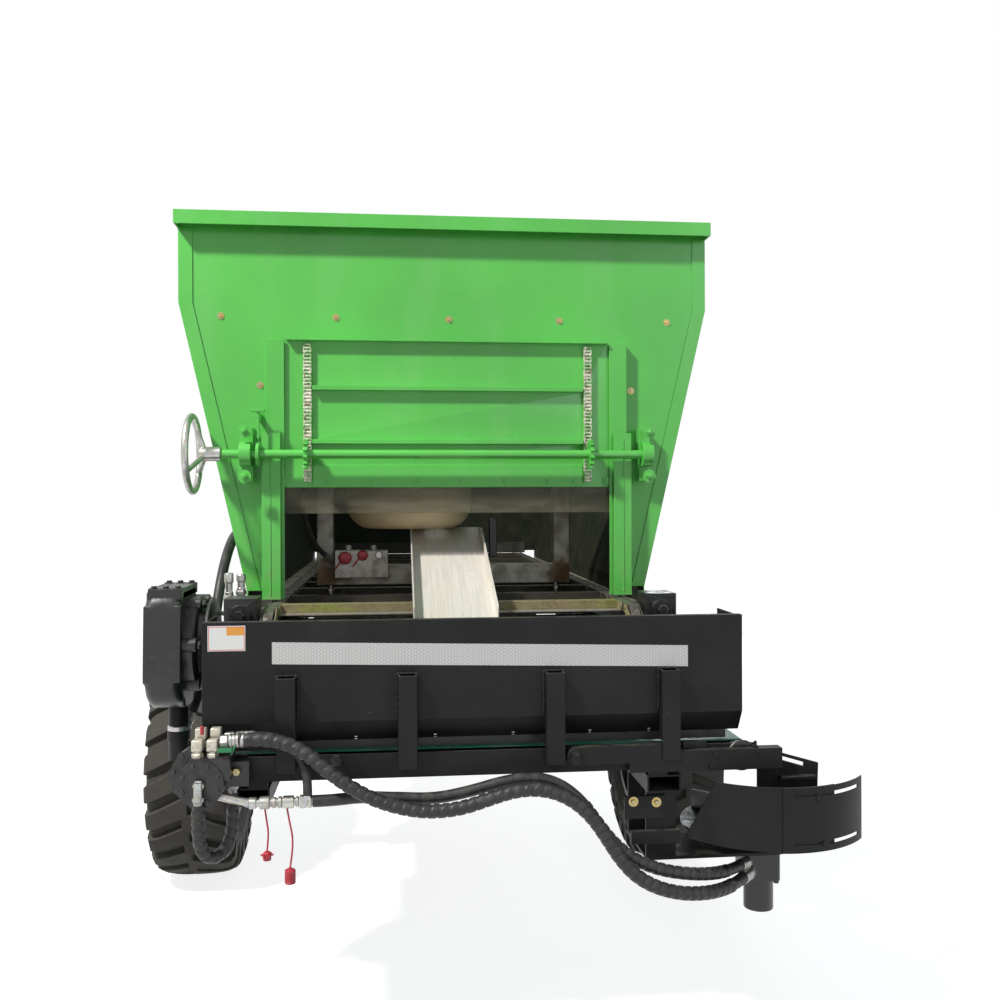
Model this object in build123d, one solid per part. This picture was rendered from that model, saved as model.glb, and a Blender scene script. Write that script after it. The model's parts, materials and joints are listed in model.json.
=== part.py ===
from build123d import *
import math
import os

# Trailed orchard manure spreader, seen from behind: X right, Y forward, Z up, in millimetres.
# Z = 0 is the ground, X = 0 the middle of the machine and Y = 0 the hopper's rear panel.
# At the end every piece is moved so that the origin is the middle of the floor area.

# Running gear
axle_y = 835
tyre_radius = 387
tyre_width = 264
wheel_track = 1634
rim_radius = 195
rim_wall = 6
rim_flange = 17
lug_count = 24
lug_height = 21
lug_width = 58
lug_rise = 62
hub_radius = 58
hub_inner_x = 690
hub_length = 168
stub_radius = 25
running_clearance = 0.05
axle_beam_size = 70
axle_beam_half = 676

# Chassis and drawbar
rail_inner_x = 350
rail_width = 80
rail_bottom = 560
rail_height = 120
rail_rear_y = -60
rail_front_y = 2440
frame_wall = 6
cross_height = 60
upright_size = 60
sill_width = 60
sill_height = 116
drawbar_size = 80
hitch_y = 3560
hitch_z = 470
hitch_bore_radius = 20
hitch_eye_radius = 45
hitch_eye_height = 40
hitch_shank = 130
jack_y = 2960
jack_tube_size = 60
jack_leg_size = 48
jack_foot_radius = 75
jack_gap = 0.4
jack_leg_top = 600
jack_head_z = 860

# Hopper
hopper_length = 2250
hopper_half_width = 731
hopper_bend_z = 1831
hopper_foot_half_width = 552
hopper_foot_z = 1048
hopper_top_z = 2071
sheet = 4
rim_height = 38
rim_rear_overhang = 45
rim_web = 44
edge_flange = 38
edge_flange_thickness = 3
floor_z = 1000
panel_joint_z = 1796
opening_half_width = 456
opening_top_z = 1700
wall_rib_width = 50
wall_rib_depth = 36

# Rear gate, its guides and its lift
gate_half_width = 470
gate_bottom_z = 1329
gate_top_z = 1733
gate_plate = 6
gate_clearance = 5
gate_side_gap = 0.4
flap_half_width = 455
flap_bottom_z = 1258
flap_thickness = 3
lip_half_width = 442
rack_x = 386
rack_pitch = 19.05
rack_width = 23
sprocket_teeth = 13
roller_radius = 5.9
lift_z = 1418
lift_shaft_radius = 12
ratchet_radius = 34
bearing_x = 544
bearing_height = 146
bearing_width = 30
handwheel_x = -683
handwheel_radius = 108

# Apron: chains with slats, its shafts, gearbox and motor
chain_x = 465
chain_width = 24
chain_height = 21
apron_shaft_z = 963
apron_rear_y = -215
apron_front_y = 2345
apron_pitch_radius = 48
apron_shaft_radius = 22
slat_count_top = 11
slat_width = 40
block_x = 531
block_width = 80
block_top_z = 1052
gearbox_radius = 146
gearbox_z = 940
gearbox_outer_x = -770
gearbox_drum_x = -677
gearbox_flange_x = -600

# Cross conveyor
hood_left_x = -577
hood_right_x = 658
hood_y = -510
hood_top_z = 1025
hood_bend_z = 799
hood_bottom_z = 750
hood_turn_in = 30
trough_front_y = -95
belt_axis_z = 696
drum_radius = 26
drum_shaft_radius = 14
belt_thickness = 4
belt_left_x = -565
port_block_z = 744
elbow_seats = ((-574, -576, 744), (-542, -576, 744), (-572, -544, 762), (-540, -544, 762))
belt_right_x = 655
belt_rear_y = -478
belt_front_y = -118
belt_rail_bottom = 668
belt_rail_top = 724
belt_rail_left_x = -479
belt_rail_right_x = 690
bracket_width = 43
bracket_depth = 30
bracket_columns_x = (-392, -123, 212, 480)
bracket_top_z = 902
bracket_bottom_z = 694

# Spinner
spinner_x = 743
spinner_y = -380
spinner_disc_radius = 190
spinner_disc_z = 490
guard_radius = 246
guard_thickness = 3
guard_top_z = 650
guard_bottom_z = 505
spinner_motor_radius = 36
spinner_motor_bottom = 284
arm_left_x = 256
arm_right_x = 745
arm_rear_y = -535
arm_front_y = -511

# Additive unit inside the hopper
additive_leg_x = 361
additive_leg_size = 50
additive_frame_y = 300
additive_top_z = 1400
bowl_x = -108
bowl_y = 262
bowl_radius = 188
bowl_bottom_z = 1210
bowl_wall = 5
bowl_flange_radius = 212
outlet_x = -30
outlet_radius = 36
portal_bottom_z = 1037
portal_height = 59
chute_left_x = -106
chute_right_x = 104
chute_top_y = 262
chute_bottom_y = -330
chute_bottom_z = 990
chute_slope = 0.37
chute_side = 42
chute_sheet = 3

# Values worked out from the sizes above
wheel_x = wheel_track / 2
axle_z = tyre_radius
rail_top = rail_bottom + rail_height
rail_outer_x = rail_inner_x + rail_width
sill_outer_x = hopper_foot_half_width
sill_inner_x = sill_outer_x - sill_width
floor_under = floor_z - sheet
sill_bottom = floor_under - sill_height
cross_top = rail_top + cross_height
rack_pitch_radius = rack_pitch / (2 * math.sin(math.pi / sprocket_teeth))
gate_back_y = -(flap_thickness + gate_clearance)
gate_front_y = gate_back_y - gate_plate
guide_back_y = gate_front_y - gate_clearance
guide_front_y = guide_back_y - gate_plate
rack_pitch_y = gate_front_y - rack_width / 2 + 2
lift_y = rack_pitch_y - rack_pitch_radius
apron_top_gap = 0.3
conveyor_tube_top = 654
conveyor_tube_width = 80
conveyor_tube_height = 40
conveyor_tube_rear_y = hood_y


# Shape helpers
def block(x, y, z):
    """Box from three (low, high) pairs."""
    size = [high - low for low, high in (x, y, z)]
    middle = [(high + low) / 2 for low, high in (x, y, z)]
    return Pos(*middle) * Box(*size)


def prism(points, axis, start, end):
    """Straight-sided outline across an axis, drawn out from start to end.

    The points are (Y, Z) across x, (X, Z) across y and (X, Y) across z.
    """
    planes = {
        "x": Plane(origin=(start, 0, 0), x_dir=(0, 1, 0), z_dir=(1, 0, 0)),
        "y": Plane(origin=(0, start, 0), x_dir=(1, 0, 0), z_dir=(0, -1, 0)),
        "z": Plane(origin=(0, 0, start)),
    }
    directions = {"x": (1, 0, 0), "y": (0, 1, 0), "z": (0, 0, 1)}
    face = planes[axis] * make_face(Polyline(*points, close=True))
    return extrude(face, amount=end - start, dir=directions[axis])


def rod(start, end, radius):
    """Round bar between two points."""
    way = Vector(*end) - Vector(*start)
    return extrude(Plane(origin=start, z_dir=way) * Circle(radius), amount=way.length)


def bar(start, end, width, height):
    """Rectangular bar between two points, its width level and its height upright."""
    way = Vector(*end) - Vector(*start)
    level = Vector(0, 0, 1).cross(way).normalized()
    plane = Plane(origin=start, x_dir=level, z_dir=way)
    return extrude(plane * Rectangle(width, height), amount=way.length)


def turned(points, origin, direction, across):
    """Profile of (along, radius) points turned about an axis through the origin."""
    plane = Plane(origin=origin, x_dir=direction, z_dir=Vector(*direction).cross(Vector(*across)))
    face = plane * make_face(Polyline(*points, close=True))
    return revolve(face, axis=Axis(origin, direction), revolution_arc=360)


def both_sides(shape):
    """A shape and its mirror image across the middle of the machine."""
    return [shape, mirror(shape, about=Plane.YZ)]


def wall_x(z, inset=0):
    """Half-width of the hopper's outer face at a height, less a level inset."""
    if z >= hopper_bend_z:
        return hopper_half_width - inset
    if z <= hopper_foot_z:
        return hopper_foot_half_width - inset
    share = (z - hopper_foot_z) / (hopper_bend_z - hopper_foot_z)
    return hopper_foot_half_width + share * (hopper_half_width - hopper_foot_half_width) - inset


def side_outline(bottom, top, inset):
    """Points of the hopper's slanted side from bottom to top."""
    heights = [bottom] + [z for z in (hopper_foot_z, hopper_bend_z) if bottom < z < top] + [top]
    return [(wall_x(z, inset), z) for z in heights]


# Running gear
def make_tyre():
    """Right-hand tyre: carcass with bulged sides, and slanted lugs from both shoulders."""
    crown = tyre_radius - lug_height
    half = tyre_width / 2
    bead = half - 27
    bead_top = rim_radius + rim_flange
    shoulder = (half - 14, crown - 14)
    origin = (wheel_x, axle_y, axle_z)
    outline = [
        Line((-bead, rim_radius), (-bead, bead_top)),
        ThreePointArc((-bead, bead_top), (-half + 2, (bead_top + crown) / 2), (-shoulder[0], shoulder[1])),
        ThreePointArc((-shoulder[0], shoulder[1]), (0, crown), shoulder),
        ThreePointArc(shoulder, (half - 2, (bead_top + crown) / 2), (bead, bead_top)),
        Line((bead, bead_top), (bead, rim_radius)),
        Line((bead, rim_radius), (-bead, rim_radius)),
    ]
    plane = Plane(origin=origin, x_dir=(1, 0, 0), z_dir=(0, -1, 0))
    carcass = revolve(plane * make_face(outline), axis=Axis(origin, (1, 0, 0)), revolution_arc=360)
    pitch = 360 / lug_count
    inner_end = 6
    low = -(lug_rise + lug_width) / 2
    corners = [
        (half, low),
        (half, low + lug_width),
        (-inner_end, low + lug_width + lug_rise),
        (-inner_end, low + lug_rise),
    ]
    reach = math.sqrt(tyre_radius ** 2 - low ** 2)
    lugs = []
    for index in range(lug_count):
        for side, phase in ((1, 0), (-1, pitch / 2)):
            points = [(side * x, s) for x, s in corners]
            lug = extrude(Plane.XY * make_face(Polyline(*points, close=True)), amount=reach - crown + 22)
            lug = Pos(0, 0, crown - 22) * lug
            lugs.append(Rot(index * pitch + phase, 0, 0) * lug)
    return carcass + [Pos(*origin) * lug for lug in lugs]


def make_rim():
    """Right-hand wheel: barrel with two flanges and a dished disc with hand holes."""
    bead = tyre_width / 2 - 27
    lip = bead + rim_wall
    inside = rim_radius - rim_wall
    origin = (wheel_x, axle_y, axle_z)
    barrel = turned(
        [(-lip, inside), (lip, inside), (lip, rim_radius + rim_flange), (bead, rim_radius + rim_flange),
         (bead, rim_radius), (-bead, rim_radius), (-bead, rim_radius + rim_flange),
         (-lip, rim_radius + rim_flange)],
        origin, (1, 0, 0), (0, 0, 1))
    face_x = hub_inner_x + hub_length - 48 - wheel_x
    disc = turned(
        [(face_x, hub_radius), (face_x, 112), (face_x - 22, 150), (face_x - 22, inside),
         (face_x - 14, inside), (face_x - 14, 153), (face_x + 8, 116), (face_x + 8, hub_radius)],
        origin, (1, 0, 0), (0, 0, 1))
    for turn in range(6):
        hole = Pos(0, 0, 165) * Rot(0, 90, 0) * Cylinder(15, 120)
        disc -= Pos(wheel_x + face_x, axle_y, axle_z) * Rot(turn * 60 + 30, 0, 0) * hole
    return barrel + disc


def make_wheel():
    """Right-hand wheel: rim and disc bolted on the hub, with its bore for the stub axle."""
    bore = stub_radius + running_clearance
    flange_end = hub_length - 48
    points = [
        (0, bore), (0, hub_radius - 8), (20, hub_radius - 0.5), (flange_end - 14, hub_radius - 0.5),
        (flange_end - 14, 105), (flange_end, 105), (flange_end, hub_radius - 0.5),
        (hub_length - 26, hub_radius - 0.5), (hub_length - 26, 40), (hub_length, 34), (hub_length, 0),
        (hub_length - 40, 0), (hub_length - 40, bore),
    ]
    wheel = turned(points, (hub_inner_x, axle_y, axle_z), (1, 0, 0), (0, 0, 1)) + make_rim()
    face = hub_inner_x + flange_end + 8
    for turn in range(6):
        nut = Pos(0, 0, 86) * Rot(0, 90, 0) * extrude(RegularPolygon(11, 6), amount=14)
        wheel += Pos(face, axle_y, axle_z) * Rot(turn * 60, 0, 0) * nut
    return wheel


def make_axle():
    """Square axle beam with its two stub ends and the two stands up to the chassis rails."""
    half = axle_beam_size / 2
    beam = block((-axle_beam_half, axle_beam_half), (axle_y - half, axle_y + half), (axle_z - half, axle_z + half))
    stub_end = hub_inner_x + hub_length - 42
    beam += rod((-stub_end, axle_y, axle_z), (stub_end, axle_y, axle_z), stub_radius)
    for side in (1, -1):
        x = sorted((side * rail_inner_x, side * rail_outer_x))
        for y in (axle_y - 90, axle_y + 90 - 10):
            beam += block(x, (y, y + 10), (axle_z + half - 30, rail_bottom))
        beam += block(x, (axle_y - 80, axle_y + 80), (axle_z + half, axle_z + half + 12))
        beam += block(x, (axle_y - 80, axle_y + 80), (rail_bottom - 12, rail_bottom))
    return beam


# Chassis
def make_rails():
    """Two box rails along the machine."""
    outer = block((rail_inner_x, rail_outer_x), (rail_rear_y, rail_front_y), (rail_bottom, rail_top))
    inner = block(
        (rail_inner_x + frame_wall, rail_outer_x - frame_wall),
        (rail_rear_y, rail_front_y),
        (rail_bottom + frame_wall, rail_top - frame_wall))
    return both_sides(outer - inner)


cross_rows_y = (40, 1160, 2200)


def make_crossmembers():
    """Cross beams on the rails, with uprights at their ends that carry the hopper's sills."""
    beams = []
    for y in cross_rows_y:
        beam = block((-sill_outer_x, sill_outer_x), (y, y + upright_size), (rail_top, cross_top))
        for x in ((sill_inner_x, sill_outer_x), (-sill_outer_x, -sill_inner_x)):
            beam += block(x, (y, y + upright_size), (cross_top, sill_bottom))
        beams.append(beam)
    return beams


def make_sills():
    """Channel sills under the hopper, with arms behind and the trough's front plate between them."""
    front = apron_front_y + 70
    web = block((sill_outer_x - frame_wall, sill_outer_x), (-140, front), (sill_bottom, floor_under))
    top = block((sill_inner_x, sill_outer_x), (-140, front), (floor_under - frame_wall, floor_under))
    foot = block((sill_inner_x, sill_outer_x), (-140, front), (sill_bottom, sill_bottom + frame_wall))
    arm = block((sill_inner_x, sill_outer_x), (hood_y + sheet, 40 - 10), (sill_bottom - 60, sill_bottom))
    arm -= block(
        (sill_inner_x + frame_wall, sill_outer_x - frame_wall),
        (hood_y + sheet, 20),
        (sill_bottom - 54, sill_bottom - frame_wall))
    sill = web + top + foot + arm
    sill -= rod((sill_inner_x, apron_front_y, apron_shaft_z), (sill_outer_x, apron_front_y, apron_shaft_z),
                apron_shaft_radius + 3)
    plate = block((-sill_inner_x, sill_inner_x), (trough_front_y, trough_front_y + sheet), (735, 870))
    return sill + mirror(sill, about=Plane.YZ) + plate


def make_drawbar():
    """Two bars that meet at the hitch, with a cross piece that carries the jack."""
    rear_z = rail_bottom + drawbar_size / 2
    rear = (rail_inner_x + rail_width / 2, rail_front_y - 140, rear_z - drawbar_size)
    tip = (44, hitch_y - hitch_shank + 10, hitch_z)
    arm = bar(rear, tip, drawbar_size, drawbar_size)
    arm -= block((0, 900), (0, rail_front_y - 120), (0, 900))
    frame = arm + mirror(arm, about=Plane.YZ)
    frame -= block((-200, 200), (hitch_y - hitch_shank, hitch_y), (0, 900))
    plate_y = (hitch_y - hitch_shank - 30, hitch_y - hitch_shank)
    frame += block((-92, 92), plate_y, (hitch_z - 46, hitch_z + 46))
    y = jack_y - jack_tube_size / 2
    return frame + block((-235, 235), (y - 50, y), (485, 545))


# Hopper
def make_side_wall():
    """Right-hand wall: bent sheet with ribs outside and a flange over the rear panel's edge."""
    top = hopper_top_z - sheet
    outer = side_outline(floor_under, top, 0)
    inner = side_outline(floor_under, top, sheet)
    wall = prism(outer + inner[::-1], "y", -edge_flange_thickness, hopper_length)
    flange_top = hopper_top_z - rim_height
    strip = side_outline(hopper_foot_z, flange_top, sheet) + side_outline(hopper_foot_z, flange_top, edge_flange)[::-1]
    wall += prism(strip, "y", -edge_flange_thickness, 0)
    rib_top = hopper_top_z - rim_height
    rib = side_outline(hopper_foot_z, rib_top, 0) + side_outline(hopper_foot_z, rib_top, -wall_rib_depth)[::-1]
    for y in (330, 860, 1390, 1920):
        wall += prism(rib, "y", y, y + wall_rib_width)
    return wall


def panel_outline(bottom, top):
    """Closed outline between the two side walls from bottom to top."""
    right = side_outline(bottom, top, sheet)
    return right + [(-x, z) for x, z in right[::-1]]


def make_front_wall():
    """Front panel above the apron, with three level ribs."""
    bottom = floor_z + chain_height + 12
    wall = prism(panel_outline(bottom, hopper_top_z - sheet), "y", hopper_length - sheet, hopper_length)
    for z in (1250, 1560, 1860):
        wall += block((-wall_x(z, 30), wall_x(z, 30)), (hopper_length, hopper_length + 30), (z, z + 50))
    return wall


def make_rear_top():
    """Upper rear panel with the lintel above the opening."""
    top = hopper_top_z - sheet
    panel = prism(panel_outline(panel_joint_z, top), "y", 0, sheet)
    return panel + block((-opening_half_width, opening_half_width), (0, sheet), (opening_top_z, panel_joint_z))


def make_rear_cheek():
    """Right-hand lower rear panel beside the opening."""
    edge = side_outline(hopper_foot_z, panel_joint_z, sheet)
    return prism(edge + [(opening_half_width, panel_joint_z), (opening_half_width, hopper_foot_z)], "y", 0, sheet)


def make_top_rim():
    """Folded rim around the top: a level web with a skirt outside."""
    outer_x = hopper_half_width + sheet
    rear = -rim_rear_overhang
    front = hopper_length + sheet
    web = block((-outer_x, outer_x), (rear, front), (hopper_top_z - sheet, hopper_top_z))
    inner_x = hopper_half_width - rim_web + sheet
    web -= block((-inner_x, inner_x), (rim_web / 4, front - rim_web), (hopper_top_z - sheet, hopper_top_z))
    skirt_z = (hopper_top_z - rim_height, hopper_top_z - sheet)
    web += block((-outer_x, outer_x), (rear, rear + sheet), skirt_z)
    web += block((-outer_x, outer_x), (front - sheet, front), skirt_z)
    for x in ((-outer_x, -outer_x + sheet), (outer_x - sheet, outer_x)):
        web += block(x, (rear, front), skirt_z)
    return web


def make_floor():
    """Floor plate that the apron runs on, open at both ends for the chains' return."""
    half = hopper_foot_half_width - sheet
    return block((-half, half), (apron_rear_y + 60, apron_front_y - 55), (floor_under, floor_z))


# Rear gate and lift
def make_guides():
    """On each side a grooved guide for the gate and, below, an angle post outside it."""
    bottom = 1027
    outer = 497
    spacer = block((gate_half_width + gate_side_gap, outer), (guide_back_y, 0), (bottom, gate_top_z - 2))
    keeper = block((lip_half_width + 6, outer), (guide_front_y, guide_back_y), (bottom, gate_top_z - 2))
    post_face = block((457, 507), (-40, -35), (bottom, 1478))
    post_side = block((502, 507), (-35, 0), (bottom, 1478))
    return both_sides(spacer + keeper) + both_sides(post_face + post_side)


def make_gate():
    """Gate plate with a folded top lip, two level ribs and a clamping strip at its foot."""
    gate = block((-gate_half_width, gate_half_width), (gate_front_y, gate_back_y), (gate_bottom_z, gate_top_z))
    gate += block((-lip_half_width, lip_half_width), (gate_front_y - 22, gate_front_y), (gate_top_z - 5, gate_top_z))
    inner = rack_x - rack_width / 2 - 2
    for z in (1454, 1600):
        gate += block((-inner, inner), (gate_front_y - 20, gate_front_y), (z - 6, z + 6))
    gate += block((-inner, inner), (gate_front_y - 4, gate_front_y), (gate_bottom_z, gate_bottom_z + 61))
    return gate


def make_rack_chains():
    """Two roller chains laid upright on the gate as racks: side plates and rollers."""
    chains = []
    count = int((gate_top_z - 8 - gate_bottom_z) / rack_pitch)
    first = lift_z - rack_pitch * round((lift_z - gate_bottom_z - 10) / rack_pitch) + rack_pitch / 2
    foot = first - rack_pitch / 2
    head = first + rack_pitch * (count - 1) + rack_pitch / 2
    for centre in (-rack_x, rack_x):
        half = rack_width / 2
        chain = block((centre - half, centre - half + 3), (rack_pitch_y - 8.5, gate_front_y), (foot, head))
        chain += block((centre + half - 3, centre + half), (rack_pitch_y - 8.5, gate_front_y), (foot, head))
        for index in range(count):
            z = first + index * rack_pitch
            roller = extrude(RegularPolygon(roller_radius, 8), amount=rack_width - 6)
            chain += Pos(centre - half + 3, rack_pitch_y, z) * Rot(0, 90, 0) * roller
        chains.append(chain)
    return chains


def make_flap():
    """Rubber flap that hangs below the gate."""
    return block(
        (-flap_half_width, flap_half_width),
        (gate_back_y, gate_back_y + flap_thickness),
        (flap_bottom_z, gate_bottom_z + 61))


def sprocket(centre_x, width):
    """Toothed wheel on the lift shaft whose teeth stand between the rack's rollers."""
    root = rack_pitch_radius - roller_radius - 1.0
    tip = rack_pitch_radius + 1.5
    wheel = Rot(0, 90, 0) * extrude(Circle(root), amount=width / 2, both=True)
    tooth = prism([(root - 3, -3.6), (tip, -1.6), (tip, 1.6), (root - 3, 3.6)], "x", -width / 2, width / 2)
    for index in range(sprocket_teeth):
        wheel += Rot(index * 360 / sprocket_teeth, 0, 0) * tooth
    return Pos(centre_x, lift_y, lift_z) * wheel


def make_lift_shaft():
    """Cross shaft with a sprocket for each rack and a ratchet wheel."""
    shaft = rod((-610, lift_y, lift_z), (566, lift_y, lift_z), lift_shaft_radius)
    for centre in (-rack_x, rack_x):
        shaft += sprocket(centre, 10)
    shaft += rod((-516, lift_y, lift_z), (-508, lift_y, lift_z), ratchet_radius)
    return shaft


def make_handwheel():
    """Dished handwheel with three spokes, on the shaft's left end."""
    centre = (handwheel_x, lift_y, lift_z)
    ring = Pos(*centre) * Rot(0, 90, 0) * Torus(handwheel_radius - 9, 9)
    hub = rod((handwheel_x + 20, lift_y, lift_z), (-610, lift_y, lift_z), 19)
    wheel = ring + hub
    for turn in (90, 210, 330):
        y = lift_y + (handwheel_radius - 9) * math.cos(math.radians(turn))
        z = lift_z + (handwheel_radius - 9) * math.sin(math.radians(turn))
        wheel += rod((handwheel_x + 34, lift_y, lift_z), (handwheel_x, y, z), 7)
    return wheel


def make_lift_bearings():
    """Two foot-mounted bearings on pads on the rear panel."""
    units = []
    for centre in (-bearing_x, bearing_x):
        x = (centre - bearing_width / 2, centre + bearing_width / 2)
        unit = block(x, (lift_y + 22, 0), (lift_z - bearing_height / 2, lift_z + bearing_height / 2))
        start = (x[0], lift_y, lift_z)
        end = (x[1], lift_y, lift_z)
        unit += rod(start, end, 34)
        unit -= rod(start, end, lift_shaft_radius + running_clearance)
        units.append(unit)
    return units


def make_lock():
    """Pawl lever above the ratchet wheel, with its stand on the rear panel."""
    x = (-515, -509)
    stand = block(x, (lift_y + 3, 0), (1505, 1530))
    lever = block(x, (lift_y - 3, lift_y + 3), (lift_z + ratchet_radius + gate_clearance + 1, 1538))
    head = block((-530, -494), (lift_y - 7, lift_y + 7), (1530, 1538))
    return stand + lever + head


# Apron
def apron_band(centre_x, width, inner, outer):
    """Loop around both apron shafts between two radii."""
    plane = Plane(origin=(centre_x - width / 2, 0, 0), x_dir=(0, 1, 0), z_dir=(1, 0, 0))
    loop = plane * (
        Pos((apron_rear_y + apron_front_y) / 2, apron_shaft_z)
        * SlotCenterToCenter(apron_front_y - apron_rear_y, 2 * outer))
    hole = plane * (
        Pos((apron_rear_y + apron_front_y) / 2, apron_shaft_z)
        * SlotCenterToCenter(apron_front_y - apron_rear_y, 2 * inner))
    return extrude(loop, amount=width, dir=(1, 0, 0)) - extrude(hole, amount=width, dir=(1, 0, 0))


def make_apron():
    """Two chain loops joined by slats on the carrying run and on the return run."""
    inner = floor_z + apron_top_gap - apron_shaft_z
    outer = inner + chain_height
    apron = apron_band(-chain_x, chain_width, inner, outer) + apron_band(chain_x, chain_width, inner, outer)
    step = (apron_front_y - apron_rear_y) / slat_count_top
    half = chain_x + chain_width / 2
    for index in range(slat_count_top):
        y = apron_rear_y + (index + 0.5) * step
        z = apron_shaft_z + inner
        apron += block((-half, half), (y - slat_width / 2, y + slat_width / 2), (z, z + chain_height))
        z = apron_shaft_z - outer
        apron += block((-half, half), (y - slat_width / 2, y + slat_width / 2), (z, z + chain_height))
    return apron


def apron_shaft(y, left_x, right_x):
    """Cross shaft with a toothless sprocket body for each chain."""
    shaft = rod((left_x, y, apron_shaft_z), (right_x, y, apron_shaft_z), apron_shaft_radius)
    seat = floor_z + apron_top_gap - apron_shaft_z - 0.3
    for centre in (-chain_x, chain_x):
        half = chain_width / 2 - 3
        shaft += rod((centre - half, y, apron_shaft_z), (centre + half, y, apron_shaft_z), seat)
    return shaft


def make_drive_shaft():
    return apron_shaft(apron_rear_y, gearbox_flange_x, block_x + block_width / 2 + 10)


def make_idler_shaft():
    return apron_shaft(apron_front_y, -sill_outer_x - 20, sill_outer_x + 20)


def make_apron_bearings():
    """Rear bearing housings with a tensioner boss on their rear face, and plain front ones."""
    bore = apron_shaft_radius + 0.2
    housings = []
    for side in (-1, 1):
        x = sorted((side * (block_x - block_width / 2), side * (block_x + block_width / 2)))
        rear = (apron_rear_y - 45, apron_rear_y + 45)
        housing = block(x, rear, (sill_bottom, block_top_z))
        middle = side * block_x
        housing += rod((middle, rear[0] - 14, block_top_z - 40), (middle, rear[0], block_top_z - 40), 25)
        start = (x[0], apron_rear_y, apron_shaft_z)
        housing -= rod(start, (x[1], apron_rear_y, apron_shaft_z), bore)
        housings.append(housing)
    for side in (-1, 1):
        x = sorted((side * sill_outer_x, side * (sill_outer_x + 30)))
        plate = block(x, (apron_front_y - 60, apron_front_y + 60), (apron_shaft_z - 45, apron_shaft_z + 33))
        plate -= rod((x[0], apron_front_y, apron_shaft_z), (x[1], apron_front_y, apron_shaft_z), bore)
        housings.append(plate)
    return housings


def make_gearbox():
    """Round reduction gearbox on the drive shaft's left end, with a flat cover on top."""
    centre_y = apron_rear_y
    profile = [
        (gearbox_outer_x, 0), (gearbox_outer_x, gearbox_radius - 26), (gearbox_outer_x + 24, gearbox_radius),
        (gearbox_drum_x, gearbox_radius), (gearbox_drum_x, 96), (gearbox_flange_x, 80), (gearbox_flange_x, 0),
    ]
    box = turned(profile, (0, centre_y, gearbox_z), (1, 0, 0), (0, 0, 1))
    box += block((gearbox_outer_x + 14, gearbox_drum_x), (centre_y - 55, centre_y + 55), (gearbox_z + 100, 1085))
    for angle in (118, 175, 232):
        y = centre_y + 116 * math.cos(math.radians(angle))
        z = gearbox_z + 116 * math.sin(math.radians(angle))
        box += rod((gearbox_drum_x - 6, y, z), (gearbox_drum_x + 30, y, z), 17)
    return box


def make_apron_motor():
    """Hydraulic motor that hangs below the gearbox."""
    centre = (gearbox_drum_x - 12, apron_rear_y)
    motor = rod((*centre, 654), (*centre, 800), 24)
    motor += rod((*centre, 700), (*centre, 722), 27)
    motor += block((-705, -672), (apron_rear_y, apron_rear_y + 58), (690, 726))
    motor += tail("hose_lift", -1, 20, 12)
    return motor - rod((-900, apron_rear_y, gearbox_z), (-300, apron_rear_y, gearbox_z), gearbox_radius)


# Cross conveyor
def make_hood():
    """Bent rear plate of the trough with a returned top edge, and its two end plates."""
    inner = hood_y + sheet
    foot = hood_y + hood_turn_in
    profile = [
        (hood_y, hood_top_z), (hood_y, hood_bend_z), (foot, hood_bottom_z), (foot + sheet, hood_bottom_z),
        (inner, hood_bend_z), (inner, hood_top_z - sheet), (inner + 18, hood_top_z - sheet),
        (inner + 18, hood_top_z),
    ]
    hood = prism(profile, "x", hood_left_x, hood_right_x)
    end = [
        (inner, hood_top_z - sheet), (inner, hood_bend_z), (foot + sheet, hood_bottom_z),
        (trough_front_y - 240, hood_bottom_z), (trough_front_y - 240, hood_top_z - sheet),
    ]
    hood += prism(end, "x", hood_left_x, hood_left_x + sheet)
    upper = [(inner, hood_top_z - sheet), (inner, 880), (trough_front_y - 240, 880),
             (trough_front_y - 240, hood_top_z - sheet)]
    hood += prism(upper, "x", hood_right_x - sheet, hood_right_x)
    return hood


def make_skirt():
    """Rubber skirt inside the turned-in foot of the trough's rear plate."""
    y = hood_y + hood_turn_in + sheet
    return block((hood_left_x + 20, hood_right_x - 30), (y, y + 5), (730, hood_bottom_z + 16)) - make_hood()


def make_belt_frame():
    """Two side channels of the cross conveyor, its slider bed and three cross tubes."""
    z = (belt_rail_bottom, belt_rail_top)
    x = (belt_rail_left_x, belt_rail_right_x)
    frame = block(x, (hood_y, hood_y + 5), z)
    frame += block(x, (trough_front_y - 5, trough_front_y), z)
    end = (belt_left_x - 45, belt_rail_left_x)
    frame += block(end, (hood_y, hood_y + 8), (belt_axis_z - 34, belt_axis_z + 34))
    frame += block(end, (trough_front_y - 8, trough_front_y), (belt_axis_z - 34, belt_axis_z + 34))
    bed_z = (belt_axis_z + 12, belt_axis_z + 20)
    frame += block((belt_left_x + 60, belt_right_x - 60), (hood_y + 5, trough_front_y - 5), bed_z)
    for centre in (-330, 40, 420):
        frame += block((centre - 20, centre + 20), (hood_y + 5, trough_front_y - 5), (belt_axis_z - 12, bed_z[0]))
    for drum_x in (belt_left_x, belt_right_x):
        start = (drum_x, hood_y - 20, belt_axis_z)
        frame -= rod(start, (drum_x, trough_front_y + 20, belt_axis_z), drum_shaft_radius + 0.2)
    return frame


def make_belt():
    """Endless flat belt around the two drums."""
    outer = drum_radius + 0.2 + belt_thickness
    plane = Plane(origin=(0, belt_rear_y, 0), x_dir=(1, 0, 0), z_dir=(0, -1, 0))
    centre = Pos((belt_left_x + belt_right_x) / 2, belt_axis_z)
    width = belt_front_y - belt_rear_y
    length = belt_right_x - belt_left_x
    loop = plane * (centre * SlotCenterToCenter(length, 2 * outer))
    hole = plane * (centre * SlotCenterToCenter(length, 2 * (drum_radius + 0.2)))
    return extrude(loop, amount=width, dir=(0, 1, 0)) - extrude(hole, amount=width, dir=(0, 1, 0))


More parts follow.
